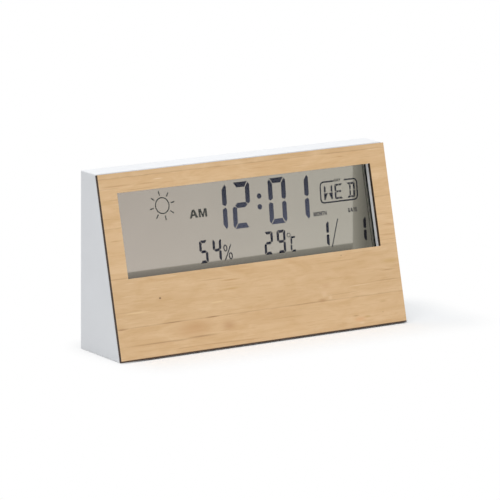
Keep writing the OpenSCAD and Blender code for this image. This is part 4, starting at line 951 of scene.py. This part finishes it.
# Cells: two AAA cells, steel cans under a shrunk printed sleeve with a silver band at the
# positive end and bare steel at both ends. The lower one points right, the upper one left.
NUB_X, CELL_RADIUS = 24.6, 5.25
white_ink = moulded_plastic("white_sleeve_print", "E8E8E4", 0.4, grain=0.2, depth=0.001)
blue_ink = moulded_plastic("blue_sleeve_print", "2A4E73", 0.4, grain=0.2, depth=0.001)
for name, end, row in (("cell_lower", 1, LOWER_ROW), ("cell_upper", -1, UPPER_ROW)):
    material, tree, place = new_material(name + "_sleeve_on_steel")
    axes = add(tree, "SeparateXYZ", {0: place.outputs["Object"]})
    along = add(tree, "Math", {0: axes.outputs[0], 1: -end * 1000}, operation="MULTIPLY")
    # From here on in mm from the nub: bare steel at both ends, the silver band, a white line.
    along = add(tree, "Math", {0: along, 1: NUB_X}, operation="ADD")
    bare = [add(tree, "Math", {0: along, 1: 1.6}, operation="LESS_THAN"),
            add(tree, "Math", {0: along, 1: 43.8}, operation="GREATER_THAN")]
    steel = add(tree, "Math", {0: bare[0], 1: bare[1]}, operation="MAXIMUM")
    band = add(tree, "Math", {0: along, 1: 11.5}, operation="LESS_THAN")
    line = add(tree, "Math", {0: along, 1: 12.0, 2: 0.35}, operation="COMPARE")
    sleeve = add(tree, "Mix", {
        0: band, 6: colour("2A4E73"), 7: colour("B8BDC4")}, data_type="RGBA")
    sleeve = add(tree, "Mix", {0: line, 6: sleeve, 7: colour("E7E9EA")}, data_type="RGBA")
    base = add(tree, "Mix", {0: steel, 6: sleeve, 7: colour("CFCDC8")}, data_type="RGBA")
    shrink = add(tree, "TexNoise", {"Vector": place.outputs["Object"], "Scale": 1 / (3 * MM)})
    bump = add(tree, "Bump", {"Height": shrink, "Strength": 0.5, "Distance": 0.03 * MM})
    silver = add(tree, "Math", {0: band, 1: 0.7}, operation="MULTIPLY")
    silver = add(tree, "Math", {0: silver, 1: steel}, operation="MAXIMUM")
    shader = add(tree, "BsdfPrincipled", {
        "Base Color": base, "Roughness": 0.3, "Metallic": silver, "IOR": 1.5, "Normal": bump})
    add(tree, "OutputMaterial", {"Surface": shader})
    finish(material, name)
    # Words on the sleeve read from behind. They are cut into rows, so that they bend round it.
    nub = -end * NUB_X
    for word, text, start, width, height in (
            ("size", "AAA", 14.8, 6.6, 2.5), ("voltage", "1.5 V", 23.0, 7.6, 2.1),
            ("kind", "ALKALINE", 32.2, 8.0, 1.5), ("plus", "+", 5.0, 2.6, 2.6),
            ("minus", "-", 41.4, 1.6, 0.4)):
        left = nub + start if end == 1 else nub - start - width
        piece = words(name + "_" + word, text, left, -height / 2, width, height,
                      Matrix.Identity(4), 0.01, thickness=0.01)
        bpy.ops.object.mode_set(mode="EDIT")
        for k in range(-4, 5):
            bpy.ops.mesh.select_all(action="SELECT")
            bpy.ops.mesh.bisect(plane_co=(0, k * 0.3 * MM, 0), plane_no=(0, 1, 0))
        bpy.ops.object.mode_set(mode="OBJECT")
        for vertex in piece.data.vertices:
            x, up, out_by = vertex.co / MM
            vertex.co = Vector(coil_point(-1, x, CELL_RADIUS + 0.005 + out_by, up / CELL_RADIUS,
                                          row)) * MM
        dress(piece, blue_ink if word == "plus" else white_ink, "case")

# Battery leads: stranded wire in red and black vinyl, from the tabs round the bay's end and up to
# the main board, soldered at both ends.
for name, row, run, up, colouring, slot in (
        ("lead_positive", UPPER_ROW, 14.98, 7, red_vinyl, "red_lead"),
        ("lead_negative", LOWER_ROW, 20.0, 4, black_vinyl, "black_lead")):
    path = cubic((-26, 0.85, row), (-1, 0, 0), 9, on_slope(-26 - run, 28.8 + up, BOARD_BACK),
                 into_board, 9, 0.6)
    for piece in soldered_lead(name, path, 0.48, colouring):
        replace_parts(piece, name)

# Bay marks: raised plus and minus signs on the floor under each cell's ends. They are cut into the
# cover's mould, so they have its colour and skin.
bay_marks = rear_place(3.3)
for name, text, x, row, height in (
        ("plus_lower", "+", 19.5, LOWER_ROW, 2.6), ("minus_lower", "-", -14.5, LOWER_ROW, 0.7),
        ("plus_upper", "+", -19.5, UPPER_ROW, 2.6), ("minus_upper", "-", 14.5, UPPER_ROW, 0.7)):
    dress(words(name + "_mark", text, -x - 1.3, row - height / 2, 2.6, height, bay_marks,
                thickness=0.12), white_abs, "case")
